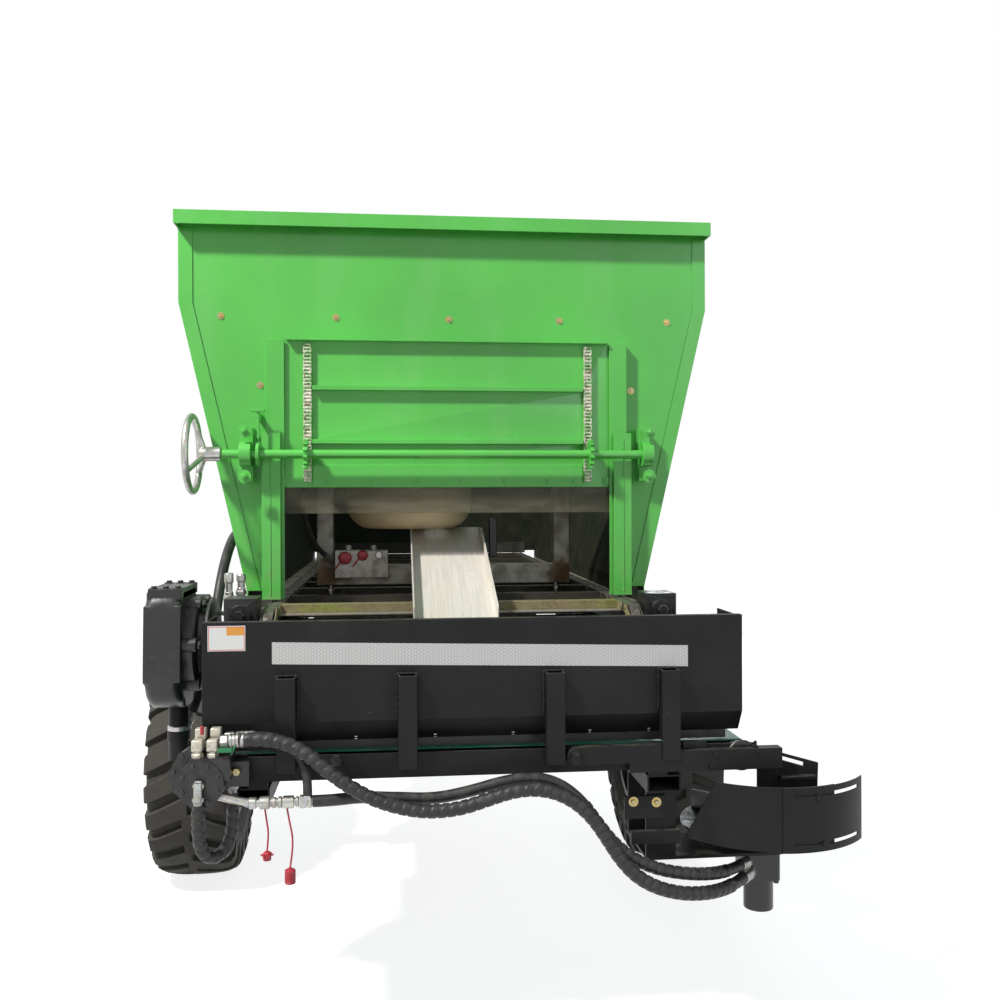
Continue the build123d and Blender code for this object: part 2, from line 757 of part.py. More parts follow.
def make_drums():
    """Drive drum at the left and tail drum at the right."""
    drums = []
    for x, rear_end in ((belt_left_x, hood_y - 14), (belt_right_x, hood_y)):
        drum = rod((x, belt_rear_y, belt_axis_z), (x, belt_front_y, belt_axis_z), drum_radius)
        drum += rod((x, rear_end, belt_axis_z), (x, trough_front_y + 12, belt_axis_z), drum_shaft_radius)
        drums.append(drum)
    return drums


def make_brackets():
    """Four channel brackets that hang the conveyor from the trough's rear plate."""
    web_y = (hood_y - bracket_depth, hood_y - bracket_depth + 5)
    brackets = []
    for x in bracket_columns_x:
        left = x - bracket_width / 2
        right = x + bracket_width / 2
        bracket = block((left, right), web_y, (bracket_bottom_z, bracket_top_z))
        foot = 740 if x > arm_left_x else bracket_bottom_z
        for edge in ((left, left + 5), (right - 5, right)):
            bracket += block(edge, (web_y[1], hood_y), (foot, bracket_top_z))
        brackets.append(bracket)
    return brackets


def make_conveyor_tubes():
    """Two tubes from the chassis rails that the conveyor's frame stands on, open at the rear."""
    z = (conveyor_tube_top - conveyor_tube_height, conveyor_tube_top)
    x = (rail_outer_x, rail_outer_x + conveyor_tube_width)
    tube = block(x, (conveyor_tube_rear_y, 320), z)
    inner = block((x[0] + 4, x[1] - 4), (conveyor_tube_rear_y, 320), (z[0] + 4, z[1] - 4))
    tube -= inner
    pad_x = (x[0] + 4, -belt_rail_left_x - 1)
    for y in ((conveyor_tube_rear_y, hood_y + 5), (trough_front_y - 5, trough_front_y)):
        tube += block(pad_x, y, (conveyor_tube_top, belt_rail_bottom))
    return both_sides(tube)


def make_belt_motor():
    """Belt gear case with the bolted motor plate behind it, on the drive drum's shaft."""
    x = belt_left_x
    z = belt_axis_z
    case = rod((x - 8, hood_y - 48, z + 4), (x - 8, hood_y - 14, z + 4), 62)
    case += rod((x, hood_y - 90, z - 5), (x, hood_y - 48, z - 5), 50)
    case += block((x + 20, x + 96), (hood_y - 44, hood_y - 14), (z - 24, z + 30))
    case += block((x - 22, x + 62), (hood_y - 84, hood_y - 48), (z, port_block_z))
    return case + block((x - 22, x + 62), (hood_y - 48, hood_y - 14), (z, port_block_z + 18))


# Spinner
def make_arm():
    """Arm bolted on the conveyor's rail, in a wider sleeve at its right end."""
    arm = block((arm_left_x, 470), (arm_rear_y, arm_front_y), (690, 730))
    arm += rod((arm_left_x, arm_rear_y, 710), (arm_left_x, arm_front_y, 710), 20)
    arm += rod((arm_left_x, arm_rear_y - 12, 710), (arm_left_x, arm_rear_y, 710), 13)
    arm += block((382, arm_right_x), (arm_rear_y, arm_front_y), (668, 716))
    return arm


def arc_point(radius, angle):
    """Point in plan on a circle about the spinner's shaft, with the angle in degrees."""
    turn = math.radians(angle)
    return (spinner_x + radius * math.cos(turn), spinner_y + radius * math.sin(turn))


def guard_plate(inner, start, end, bottom, top):
    """Curved upright plate about the spinner's shaft between two angles."""
    outer = inner + guard_thickness
    middle = (start + end) / 2
    edges = [
        ThreePointArc(arc_point(inner, start), arc_point(inner, middle), arc_point(inner, end)),
        Line(arc_point(inner, end), arc_point(outer, end)),
        ThreePointArc(arc_point(outer, end), arc_point(outer, middle), arc_point(outer, start)),
        Line(arc_point(outer, start), arc_point(inner, start)),
    ]
    return extrude(Plane.XY.offset(bottom) * make_face(edges), amount=top - bottom)


def make_guard_fixed():
    """Inner guard plate, cut on the slant at its left end, with a flange to the arm."""
    plate = guard_plate(guard_radius, 208, 292, guard_bottom_z, guard_top_z)
    cutter = prism([(480, guard_bottom_z), (523, guard_bottom_z), (575, guard_top_z), (480, guard_top_z)], "y", -640, -400)
    plate -= cutter
    return plate


def make_guard_slide():
    """Outer guard plate that overlaps the inner one, with two long slots."""
    inner = guard_radius + guard_thickness
    plate = guard_plate(inner, 262, 318, guard_bottom_z - 2, guard_top_z)
    for z in (guard_bottom_z + 14, guard_top_z - 22):
        slot = guard_plate(inner - 1, 268, 312, z, z + 8) + guard_plate(inner + 1, 268, 312, z, z + 8)
        plate -= slot
    return plate


def make_deflector():
    """Upright plate from the arm's end down inside the guard, which it carries."""
    plate = block((arm_right_x - 52, arm_right_x), (arm_front_y, arm_front_y + 6), (560, 716))
    link = block((arm_right_x - 52, arm_right_x), (-640, arm_front_y), (606, 612))
    plate += link
    plate += block((arm_right_x, 830), (arm_rear_y + 4, arm_front_y + 6), (640, 646))
    inside = rod((spinner_x, spinner_y, 500), (spinner_x, spinner_y, 760), guard_radius)
    return plate & inside


def make_spinner_disc():
    """Spinner disc with a hub and four upright vanes."""
    z = spinner_disc_z
    disc = rod((spinner_x, spinner_y, z), (spinner_x, spinner_y, z + 6), spinner_disc_radius)
    disc += rod((spinner_x, spinner_y, z - 18), (spinner_x, spinner_y, z + 34), 34)
    for turn in range(4):
        vane = block((28, spinner_disc_radius - 6), (-3, 3), (z + 6, z + 52))
        disc += Pos(spinner_x, spinner_y, 0) * Rot(0, 0, 45 + turn * 90) * vane
    shaft_gap = rod((spinner_x, spinner_y, z - 19), (spinner_x, spinner_y, z + 20), 12.5 + running_clearance)
    return disc - shaft_gap


def make_carrier():
    """Pan that carries the spinner's motor, hung from the right-hand conveyor tube."""
    tube_bottom = conveyor_tube_top - conveyor_tube_height
    pan_z = (446, 454)
    hanger_x = (rail_outer_x + 4, rail_outer_x + conveyor_tube_width - 4)
    carrier = block(hanger_x, (-480, -472), (pan_z[0], tube_bottom))
    carrier += block(hanger_x, (-300, -292), (pan_z[0], tube_bottom))
    carrier += block((hanger_x[0], spinner_x), (-480, -280), pan_z)
    carrier += rod((spinner_x, spinner_y, pan_z[0]), (spinner_x, spinner_y, pan_z[1]), 100)
    carrier -= rod((spinner_x, spinner_y, pan_z[0]), (spinner_x, spinner_y, pan_z[1]), 26)
    return carrier


def make_spinner_motor():
    """Hydraulic motor below the pan, with its shaft up into the spinner's hub."""
    motor = rod((spinner_x, spinner_y, spinner_motor_bottom), (spinner_x, spinner_y, 432), spinner_motor_radius)
    motor += block((spinner_x - 50, spinner_x + 50), (spinner_y - 50, spinner_y + 50), (432, 446))
    motor += rod((spinner_x, spinner_y, 446), (spinner_x, spinner_y, 466), 25)
    motor += rod((spinner_x, spinner_y, 466), (spinner_x, spinner_y, spinner_disc_z + 18), 12.5)
    return motor


# Additive unit inside the hopper
def make_additive_frame():
    """Tube frame: a low portal under the bowl, and bars from wall to wall that carry it."""
    leg = additive_leg_size
    top = (additive_top_z, additive_top_z + leg)
    reach = wall_x(additive_top_z, sheet) - 0.3
    rear_bar = (bowl_y - bowl_radius - leg - 12, bowl_y - bowl_radius - 12)
    front_bar = (bowl_y + bowl_radius + 12, bowl_y + bowl_radius + 12 + leg)
    frame = block((-reach, reach), rear_bar, top) + block((-reach, reach), front_bar, top)
    for side in (-1, 1):
        x = sorted((side * additive_leg_x - leg / 2, side * additive_leg_x + leg / 2))
        frame += block(x, (rear_bar[1], front_bar[0]), top)
        frame += block(x, (additive_frame_y - leg / 2, additive_frame_y + leg / 2), (portal_bottom_z, top[0]))
    inner = additive_leg_x - leg / 2
    y = (additive_frame_y - leg / 2, additive_frame_y + leg / 2)
    frame += block((-inner, inner), y, (portal_bottom_z, portal_bottom_z + portal_height))
    return frame


def make_bowl():
    """Open plastic bowl whose flange rests on the frame, with its outlet over the chute."""
    corner = 58
    outer = bowl_radius
    inner = bowl_radius - bowl_wall
    bottom = bowl_bottom_z
    rim = additive_top_z + additive_leg_size
    outline = [
        Line((0, bottom), (outer - corner, bottom)),
        ThreePointArc((outer - corner, bottom), (outer - 17, bottom + 26), (outer, bottom + 80)),
        Line((outer, bottom + 80), (outer, rim)),
        Line((outer, rim), (bowl_flange_radius, rim)),
        Line((bowl_flange_radius, rim), (bowl_flange_radius, rim + bowl_wall)),
        Line((bowl_flange_radius, rim + bowl_wall), (inner, rim + bowl_wall)),
        Line((inner, rim + bowl_wall), (inner, bottom + 80)),
        ThreePointArc((inner, bottom + 80), (inner - 17, bottom + 30), (inner - corner, bottom + bowl_wall)),
        Line((inner - corner, bottom + bowl_wall), (0, bottom + bowl_wall)),
        Line((0, bottom + bowl_wall), (0, bottom)),
    ]
    plane = Plane(origin=(bowl_x, bowl_y, 0), x_dir=(1, 0, 0), z_dir=(0, -1, 0))
    axis = Axis((bowl_x, bowl_y, 0), (0, 0, 1))
    bowl = revolve(plane * make_face(outline), axis=axis, revolution_arc=360)
    outlet = (outlet_x, chute_top_y - outlet_radius - 8)
    return bowl - rod((*outlet, bottom - 1), (*outlet, bottom + bowl_wall + 1), outlet_radius)


def make_chute():
    """Stainless channel from under the bowl down over the apron's end."""
    rise = chute_slope * (chute_top_y - chute_bottom_y)
    start = (chute_bottom_y, chute_bottom_z)
    end = (chute_top_y, chute_bottom_z + rise)
    profile = [start, end, (end[0], end[1] + chute_side), (start[0], start[1] + chute_side)]
    chute = prism(profile, "x", chute_left_x, chute_right_x)
    inner = [
        (start[0] - 5, start[1] + chute_sheet - 5 * chute_slope),
        (end[0] + 5, end[1] + chute_sheet + 5 * chute_slope),
        (end[0] + 5, end[1] + 200),
        (start[0] - 5, start[1] + 200),
    ]
    chute -= prism(inner, "x", chute_left_x + chute_sheet, chute_right_x - chute_sheet)
    return chute - block((-300, 300), (0, 900), (bowl_bottom_z, bowl_bottom_z + 300))


def make_valve_block():
    """Valve block on the portal's rear face, with two capped ports."""
    y = additive_frame_y - additive_leg_size / 2
    valve = block((-329, -172), (y - 42, y), (1062, 1096))
    valve += block((-329, -172), (y - 42, y), (1096, 1143))
    for x in (-290, -215):
        valve += rod((x, y - 21, 1143), (x, y - 21, 1158), 9)
    return valve


# Hitch and jack
def make_hitch():
    """Hitch eye: a ring with its upright bore, on a flat shank."""
    low = hitch_z - hitch_eye_height / 2
    high = hitch_z + hitch_eye_height / 2
    eye = rod((0, hitch_y, low), (0, hitch_y, high), hitch_eye_radius)
    eye += block((-32, 32), (hitch_y - hitch_shank, hitch_y), (low, high))
    return eye - rod((0, hitch_y, low), (0, hitch_y, high), hitch_bore_radius)


def make_jack_tube():
    """Square outer tube of the jack with its head and crank, on the drawbar's cross piece."""
    half = jack_tube_size / 2
    inner = jack_leg_size / 2 + jack_gap
    y = (jack_y - half, jack_y + half)
    tube = block((-half, half), y, (330, jack_head_z))
    tube -= block((-inner, inner), (jack_y - inner, jack_y + inner), (330, jack_head_z))
    head = half + 6
    tube += block((-head, head), (y[0] - 6, y[1] + 6), (jack_head_z, jack_head_z + 46))
    z = jack_head_z + 23
    elbow_x = head + 42
    tube += rod((head, jack_y, z), (elbow_x + 8, jack_y, z), 8)
    tube += rod((elbow_x, jack_y, z), (elbow_x, jack_y, z - 150), 8)
    return tube + rod((elbow_x, jack_y, z - 142), (elbow_x + 80, jack_y, z - 142), 10)


def make_jack_leg():
    """Inner leg with its round foot."""
    half = jack_leg_size / 2
    leg = block((-half, half), (jack_y - half, jack_y + half), (8, jack_leg_top))
    return leg + rod((0, jack_y, 0), (0, jack_y, 8), jack_foot_radius)


# Hoses and cords: each route is a list of points chosen by hand
def cord_radii(points):
    """Radius of the arc at each corner: 0.45 of the shorter run over the half turn's tangent."""
    radii = []
    for before, corner, after in zip(points, points[1:], points[2:]):
        first = Vector(*corner) - Vector(*before)
        second = Vector(*after) - Vector(*corner)
        half_turn = math.radians(first.get_angle(second)) / 2
        radii.append(0.45 * min(first.length, second.length) / math.tan(half_turn))
    return radii


def cord(name, points, radius):
    """Tube along straight runs joined by tangent arcs."""
    radii = cord_radii(points)
    path = FilletPolyline(*points, radius=radii)
    start = Plane(origin=points[0], z_dir=Vector(*points[1]) - Vector(*points[0]))
    tube = sweep(start * Circle(radius), path=path)
    length = path.length
    expected = math.pi * radius ** 2 * length
    print(f"{name}: length {length:.0f}, radii {[round(value) for value in radii]}, "
          f"volume share {tube.volume / expected:.4f}")
    return tube


cords = {
    "hose_spinner_feed": (14, [
        (-484, -584, 780), (-436, -585, 782), (-386, -587, 772), (-339, -592, 748), (-297, -598, 712),
        (-253, -602, 679), (-202, -604, 650), (-142, -604, 628), (-76, -604, 617), (-8, -604, 622),
        (50, -604, 640), (104, -604, 656), (154, -604, 660), (203, -604, 650), (247, -604, 626),
        (283, -604, 591), (312, -604, 549), (341, -603, 502), (377, -602, 460), (424, -599, 430),
        (480, -591, 411), (536, -573, 400), (590, -543, 393), (640, -501, 389), (684, -450, 387),
    ]),
    "hose_spinner_return": (13, [
        (-330, -575, 641), (-288, -575, 641), (-230, -572, 646), (-150, -568, 640), (-66, -566, 634),
        (14, -566, 648), (88, -566, 668), (158, -567, 676), (214, -568, 660), (262, -569, 622),
        (298, -570, 572), (336, -570, 522), (384, -570, 482), (446, -569, 456), (514, -560, 441),
        (578, -534, 429), (634, -492, 420), (680, -442, 413),
    ]),
    "hose_coupler": (10, [
        (-466, -554, 781), (-424.5, -554, 781), (-386, -556, 765), (-357, -563, 736), (-341, -575, 698),
        (-341, -575, 656.5),
    ]),
    "hose_motor_loop": (12, [
        (-566, -616, 652), (-566, -616, 622), (-565, -615, 590), (-562, -611, 560), (-552, -599, 536),
        (-536, -579, 527), (-519, -559, 536), (-509, -546, 560), (-505.5, -541.5, 592), (-505, -541, 624),
        (-505, -541, 655),
    ]),
    "hose_lift": (14, [
        (-605, 312, 1206), (-605, 262, 1206), (-609, 190, 1200), (-612, 118, 1178), (-616, 50, 1136),
        (-620, -8, 1078), (-625, -50, 1006), (-632, -72, 928), (-646, -90, 852), (-664, -112, 784),
        (-680, -142, 732),
    ]),
    "hose_additive": (8, [
        (-404, 36, 1388), (-404, 36, 1354), (-405, 44, 1318), (-406, 62, 1283), (-405, 90, 1252),
        (-401, 124, 1225), (-395, 158, 1197), (-386, 190, 1169), (-372, 218, 1144), (-352, 240, 1126),
    ]),
    "cap_cord_short": (2, [
        (-432, -575, 626.2), (-429, -576, 604), (-425, -576, 580), (-426, -575, 558), (-428, -575, 536.3),
    ]),
    "cap_cord_long": (2, [
        (-385, -575, 626.2), (-380, -576, 598), (-373, -576, 565), (-374, -575, 532), (-379, -575, 498.3),
    ]),
}


def tail(name, end, length, radius):
    """Straight fitting in line with a hose's first or last run."""
    points = cords[name][1]
    tip, neighbour = (points[0], points[1]) if end == 0 else (points[-1], points[-2])
    way = (Vector(*tip) - Vector(*neighbour)).normalized()
    far = Vector(*tip) + way * length
    return rod(tip, (far.X, far.Y, far.Z), radius)


def make_motor_fittings():
    """Elbows on the belt motor's ports, the coupler line with its branch, and the centre elbow."""
    motor = make_belt_motor()
    pieces = []
    for x, y, z in elbow_seats:
        elbow = rod((x, y, z), (x, y, z + 12), 11)
        pieces.append(elbow + block((x - 12, x + 12), (y - 12, y + 12), (z + 12, z + 38)))
    pieces[1] += tail("hose_spinner_feed", 0, 52, 13)
    pieces[3] += tail("hose_coupler", 0, 66, 10)
    line = rod((-470, -575, 641), (-330, -575, 641), 11)
    for start, end, radius in ((-446, -424, 14), (-398, -372, 14), (-356, -334, 15)):
        line += rod((start, -575, 641), (end, -575, 641), radius)
    line += rod((-341, -575, 641), (-341, -575, 656.5), 10)
    line += rod((-540, -575, 662), (-466, -575, 641), 10)
    pieces.append(line)
    pieces.append(rod((-566, -616, 691), (-566, -590, 691), 12) + rod((-566, -616, 652), (-566, -616, 700), 10))
    pieces.append(rod((-505, -541, 655), (-505, -541, 690), 11))
    return [piece - motor for piece in pieces]


def make_spinner_fittings():
    """Hose tails on the spinner motor's two ports."""
    tails = [tail("hose_spinner_feed", -1, 70, 13), tail("hose_spinner_return", -1, 70, 12)]
    return [piece - make_spinner_motor() for piece in tails]


def make_wall_fittings():
    """Hose ends on the left wall's rib, under the bowl's frame and at the valve block."""
    rib = rod((-605, 312, 1206), (-605, 330, 1206), 13)
    frame_end = rod((-404, 36, 1388), (-404, 36, additive_top_z), 9)
    valve_end = tail("hose_additive", -1, 40, 9) - make_valve_block()
    return [rib, frame_end, valve_end]


def make_caps():
    """Dust caps on the two cords: a winged one and a plain one."""
    short = rod((-428, -575, 516), (-428, -575, 532), 9) + rod((-428, -575, 526), (-428, -575, 531), 14)
    short += rod((-428, -575, 532), (-428, -575, 536), 4)
    plain = rod((-379, -575, 464), (-379, -575, 494), 12) + rod((-379, -575, 494), (-379, -575, 498), 4)
    return Compound([short, plain])


# Everything that is built, by the name of its piece
def mirrored(shape):
    return mirror(shape, about=Plane.YZ)


def build():
    tyre = Compound(make_tyre())
    wheel = make_wheel()
    side_wall = make_side_wall()
    cheek = make_rear_cheek()
    parts = {
        "tyre_right": tyre,
        "tyre_left": mirrored(tyre),
        "wheel_right": wheel,
        "wheel_left": mirrored(wheel),
        "axle_beam": make_axle(),
        "chassis_rails": Compound(make_rails()),
        "chassis_crossmembers": Compound(make_crossmembers()),
        "hopper_sills": make_sills(),
        "drawbar": make_drawbar(),
        "hitch_eye": make_hitch(),
        "jack_tube": make_jack_tube(),
        "jack_leg": make_jack_leg(),
        "hopper_right_wall": side_wall,
        "hopper_left_wall": mirrored(side_wall),
        "hopper_front_wall": make_front_wall(),
        "hopper_rear_panel": make_rear_top(),
        "hopper_right_cheek": cheek,
        "hopper_left_cheek": mirrored(cheek),
        "hopper_rim": make_top_rim(),
        "hopper_floor": make_floor(),
        "gate_guides": Compound(make_guides()),
        "gate": make_gate(),
        "gate_rack_chains": Compound(make_rack_chains()),
        "gate_flap": make_flap(),
        "lift_shaft": make_lift_shaft(),
        "handwheel": make_handwheel(),
        "lift_bearings": Compound(make_lift_bearings() + [make_lock()]),
        "apron_chains": make_apron(),
        "apron_shafts": Compound([make_drive_shaft(), make_idler_shaft()]),
        "apron_bearings": Compound(make_apron_bearings()),
        "apron_gearbox": make_gearbox(),
        "apron_motor": make_apron_motor(),
        "trough_hood": make_hood(),
        "trough_skirt": make_skirt(),
        "hood_brackets": Compound(make_brackets()),
        "belt_frame": make_belt_frame(),
        "belt": make_belt(),
        "belt_drums": Compound(make_drums()),
        "belt_motor": make_belt_motor(),
        "hose_fittings": Compound(make_motor_fittings() + make_spinner_fittings() + make_wall_fittings()),
        "conveyor_tubes": Compound(make_conveyor_tubes()),
        "spinner_arm": make_arm() + make_deflector(),
        "spinner_guard_fixed": make_guard_fixed(),
        "spinner_guard_slide": make_guard_slide(),
        "spinner_disc": make_spinner_disc(),
        "spinner_carrier": make_carrier(),
        "spinner_motor": make_spinner_motor(),
        "additive_frame": make_additive_frame(),
        "additive_bowl": make_bowl(),
        "additive_chute": make_chute(),
        "additive_valve": make_valve_block(),
    }
    return parts


cord_names = list(cords) + ["dust_caps"]
parts = build()
solid_box = Compound(list(parts.values())).bounding_box()
for name, (radius, points) in cords.items():
    parts[name] = cord(name, points, radius)
parts["dust_caps"] = make_caps()
shift = (-(solid_box.min.X + solid_box.max.X) / 2, -(solid_box.min.Y + solid_box.max.Y) / 2, -solid_box.min.Z)
print(len(parts), "pieces, moved by", [round(value, 4) for value in shift])
os.makedirs("parts", exist_ok=True)
for name, shape in parts.items():
    export_step(Pos(*shift) * shape, f"parts/{name}.step")
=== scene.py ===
import json
import math

import bmesh
import bpy
from mathutils import Matrix, Vector

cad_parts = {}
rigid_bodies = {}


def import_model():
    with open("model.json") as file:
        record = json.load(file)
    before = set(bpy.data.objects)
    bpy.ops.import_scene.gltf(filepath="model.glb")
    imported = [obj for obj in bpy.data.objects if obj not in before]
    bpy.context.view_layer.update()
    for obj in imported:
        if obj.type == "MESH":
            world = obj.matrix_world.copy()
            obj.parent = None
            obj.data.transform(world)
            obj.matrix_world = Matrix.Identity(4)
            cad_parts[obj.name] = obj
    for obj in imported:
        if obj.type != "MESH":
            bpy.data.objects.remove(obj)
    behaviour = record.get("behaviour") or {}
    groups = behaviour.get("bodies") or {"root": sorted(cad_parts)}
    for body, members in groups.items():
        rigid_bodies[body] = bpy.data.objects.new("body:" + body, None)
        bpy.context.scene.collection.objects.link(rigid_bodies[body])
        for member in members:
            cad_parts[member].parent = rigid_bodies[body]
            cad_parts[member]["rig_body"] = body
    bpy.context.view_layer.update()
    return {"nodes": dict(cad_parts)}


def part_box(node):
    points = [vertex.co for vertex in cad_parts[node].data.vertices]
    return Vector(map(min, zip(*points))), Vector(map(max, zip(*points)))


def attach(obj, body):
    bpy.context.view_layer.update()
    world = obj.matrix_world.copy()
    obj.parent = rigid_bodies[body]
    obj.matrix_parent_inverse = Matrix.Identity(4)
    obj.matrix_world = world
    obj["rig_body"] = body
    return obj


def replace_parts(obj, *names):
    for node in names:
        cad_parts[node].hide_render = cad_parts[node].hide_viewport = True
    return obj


bl_info = {
    "name": "Trailed manure spreader",
    "version": (1, 0, 0),
    "blender": (4, 5, 0),
    "location": "View3D > Sidebar > Spreader",
    "description": "Dresses the solids of a trailed manure spreader with finishes, fasteners, hoses and tyres",
    "category": "Object",
}

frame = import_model()
REAR_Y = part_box("hopper_rear_panel")[0].y
MACHINE = "machine"
RIGHT, BACK, UP = Vector((1, 0, 0)), Vector((0, -1, 0)), Vector((0, 0, 1))


def at(x, y, z):
    """Point in the row frame from metres measured from the hopper's rear panel."""
    return Vector((x, y + REAR_Y, z))


# Shader maths
class Wire:
    """A socket whose sums and products add Math nodes."""

    def __init__(self, graph, socket):
        self.graph = graph
        self.socket = socket

    def _math(self, operation, first, second):
        return self.graph.node("ShaderNodeMath", {"operation": operation}, {0: first, 1: second})

    def __add__(self, other):
        return self._math("ADD", self, other)

    __radd__ = __add__

    def __sub__(self, other):
        return self._math("SUBTRACT", self, other)

    def __rsub__(self, other):
        return self._math("SUBTRACT", other, self)

    def __mul__(self, other):
        return self._math("MULTIPLY", self, other)

    def __gt__(self, other):
        return self._math("GREATER_THAN", self, other)

    def __lt__(self, other):
        return self._math("LESS_THAN", self, other)


class Graph:
    """A node tree and the one way of adding nodes to it."""

    def __init__(self, tree):
        self.tree = tree
        self.tree.nodes.clear()

    def node(self, kind, settings=None, inputs=None, output=0):
        """Adds a node, makes its settings, then fills its sockets with values or wires."""
        node = self.tree.nodes.new(kind)
        for key, value in (settings or {}).items():
            setattr(node, key, value)
        for key, value in (inputs or {}).items():
            self.fill(node.inputs[key], value)
        return Wire(self, node.outputs[output]) if node.outputs else node

    def fill(self, socket, value):
        """Links a wire to a socket, or sets the socket's value."""
        if isinstance(value, Wire):
            self.tree.links.new(value.socket, socket)
        else:
            socket.default_value = value

    def backdrop_rays(self):
        """1 for rays of the camera, of mirror images and through glass, and 0 for those that light things."""
        camera, glossy, through = [
            self.node("ShaderNodeLightPath", output=name)
            for name in ("Is Camera Ray", "Is Glossy Ray", "Is Transmission Ray")]
        return camera + glossy + through


class Finish(Graph):
    """One material: a Principled surface and the nodes that feed it."""

    def __init__(self, name):
        self.material = bpy.data.materials.new(name)
        self.material.use_nodes = True
        super().__init__(self.material.node_tree)
        self.surface = self.tree.nodes.new("ShaderNodeBsdfPrincipled")
        self.output = self.node("ShaderNodeOutputMaterial")
        self.fill(self.output.inputs["Surface"], Wire(self, self.surface.outputs[0]))
        self.place = self.node("ShaderNodeTexCoord", output="Object")

    def feed(self, **sockets):
        """Sets or links sockets of the surface, named in lower case."""
        for name, value in sockets.items():
            title = name.replace("_", " ").title().replace("Ior", "IOR")
            self.fill(self.surface.inputs[title], value)

    def noise(self, scale, detail=3, roughness=0.55, stretch=(1, 1, 1)):
        """Noise from 0 to 1 over the object's own coordinates."""
        place = self.node("ShaderNodeMapping", inputs={"Vector": self.place, "Scale": stretch})
        return self.node("ShaderNodeTexNoise", inputs={
            "Vector": place, "Scale": scale, "Detail": detail, "Roughness": roughness})

    def patches(self, scale, detail, roughness, low, high):
        """Soft-edged patches where noise is above low, full above high."""
        return self.span(self.noise(scale, detail, roughness), low, high)

    def spangle(self, scale):
        """Cells of random colours, like the crystals of zinc."""
        return self.node("ShaderNodeTexVoronoi", inputs={"Vector": self.place, "Scale": scale}, output="Color")

    def math(self, operation, value):
        """A function of one value, such as ABSOLUTE."""
        return self.node("ShaderNodeMath", {"operation": operation}, {0: value})

    def upward(self):
        """1 where the surface faces up, 0 where it is upright."""
        normal = self.node("ShaderNodeNewGeometry", output="Normal")
        return self.node("ShaderNodeSeparateXYZ", inputs={"Vector": normal}, output="Z")

    def axis(self, name):
        """One of the object's own coordinates, in metres."""
        return self.node("ShaderNodeSeparateXYZ", inputs={"Vector": self.place}, output=name)

    def span(self, value, low, high, start=0.0, end=1.0):
        """Maps low..high to start..end, smoothly and clamped."""
        return self.node("ShaderNodeMapRange", {"interpolation_type": "SMOOTHSTEP"}, {
            "Value": value, "From Min": low, "From Max": high, "To Min": start, "To Max": end})

    def mix(self, mask, first, second, blend="MIX"):
        """Colour between two colours or colour wires."""
        first, second = [c if isinstance(c, Wire) else (*c, 1) for c in (first, second)]
        return self.node("ShaderNodeMix", {"data_type": "RGBA", "blend_type": blend}, {
            0: mask, 6: first, 7: second}, output=2)

    def bump(self, height, strength, distance):
        """Lets a height disturb the surface's normal."""
        self.feed(normal=self.node("ShaderNodeBump", inputs={
            "Height": height, "Strength": strength, "Distance": distance}))


# Finishes. FINISHES holds (function, slot) by name.
SLAT_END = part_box("hopper_floor")[1].x - 0.1
# Slats past this line, inside the hopper, are painted in shade.
SHADED_SLAT_Y = REAR_Y + 0.02
FRAME_CORNER_X = 0.361
FRAME_CORNER_Z = 1.063
SIGN_LOW = at(-0.564, -0.5125, 0.961)
SIGN_HIGH = at(-0.482, -0.51, 1.017)
FINISHES = {}
made_finishes = {}


def finish(slot=None):
    """Lists a finish under its function's name, with the record's slot that it stands for."""
    def listed(make):
        FINISHES[make.__name__] = (make, slot)
        return make
    return listed


def shade(color, factor):
    """A colour made darker or lighter."""
    return tuple(min(1, c * factor) for c in color)


def palette():
    """The colours that the panel's properties hold."""
    return bpy.context.scene.spreader_colours


@finish("green_paint")
def green_enamel(f):
    """Glossy enamel on sheet steel: slight waviness, faded patches, dust low down and a few chips."""
    green = tuple(palette().green)
    patches = f.patches(2.6, 4, 0.55, 0.35, 0.7)
    streaks = f.span(f.noise(9, 5, 0.6, (1, 1, 0.16)), 0.5, 0.74)
    tone = f.mix(patches, shade(green, 0.93), shade(green, 1.05))
    tone = f.mix(streaks * 0.1, tone, (0.4, 0.6, 0.34))
    low = f.span(f.axis("Z"), 1.3, 1.03)
    dust = low * f.patches(23, 6, 0.65, 0.42, 0.68)
    tone = f.mix(dust * 0.3, tone, (0.33, 0.29, 0.19))
    chips = f.patches(120, 2, 0.55, 0.745, 0.765) * f.patches(5, 2, 0.55, 0.5, 0.62)
    f.feed(base_color=f.mix(chips * 0.8, tone, (0.1, 0.13, 0.09)),
           roughness=0.27 + patches * 0.08 + dust * 0.35 + chips * 0.3,
           coat_weight=0.35 - dust * 0.3, coat_roughness=0.12, specular_ior_level=0.5)
    f.bump(f.noise(3.2, 1) * 9 + f.noise(420, 1) * 0.35, 0.25, 0.0012)


@finish("green_paint")
def hopper_inside(f):
    """Inside faces of the hopper: darker green enamel above, and painted shade below, near-black in faint brown
    patches with a ragged edge.
    """
    ragged = f.axis("Z") + f.noise(7, 6, 0.65) * 0.5
    # Painted shade: below a ragged line at Z 1.95 to 2.2 m the inside goes near-black, standing for the shade
    # inside the hopper.
    unmarked = f.span(ragged, 1.95, 2.2)
    painted_shade_patches = f.patches(13, 7, 0.7, 0.36, 0.66)
    load = f.mix(painted_shade_patches, (0.009, 0.014, 0.008), (0.026, 0.028, 0.016))
    f.feed(base_color=f.mix(unmarked, load, shade(tuple(palette().green), 0.8)),
           roughness=0.75 - unmarked * 0.35, specular_ior_level=0.2)
    f.bump(f.noise(55, 5, 0.6), 0.35, 0.002)


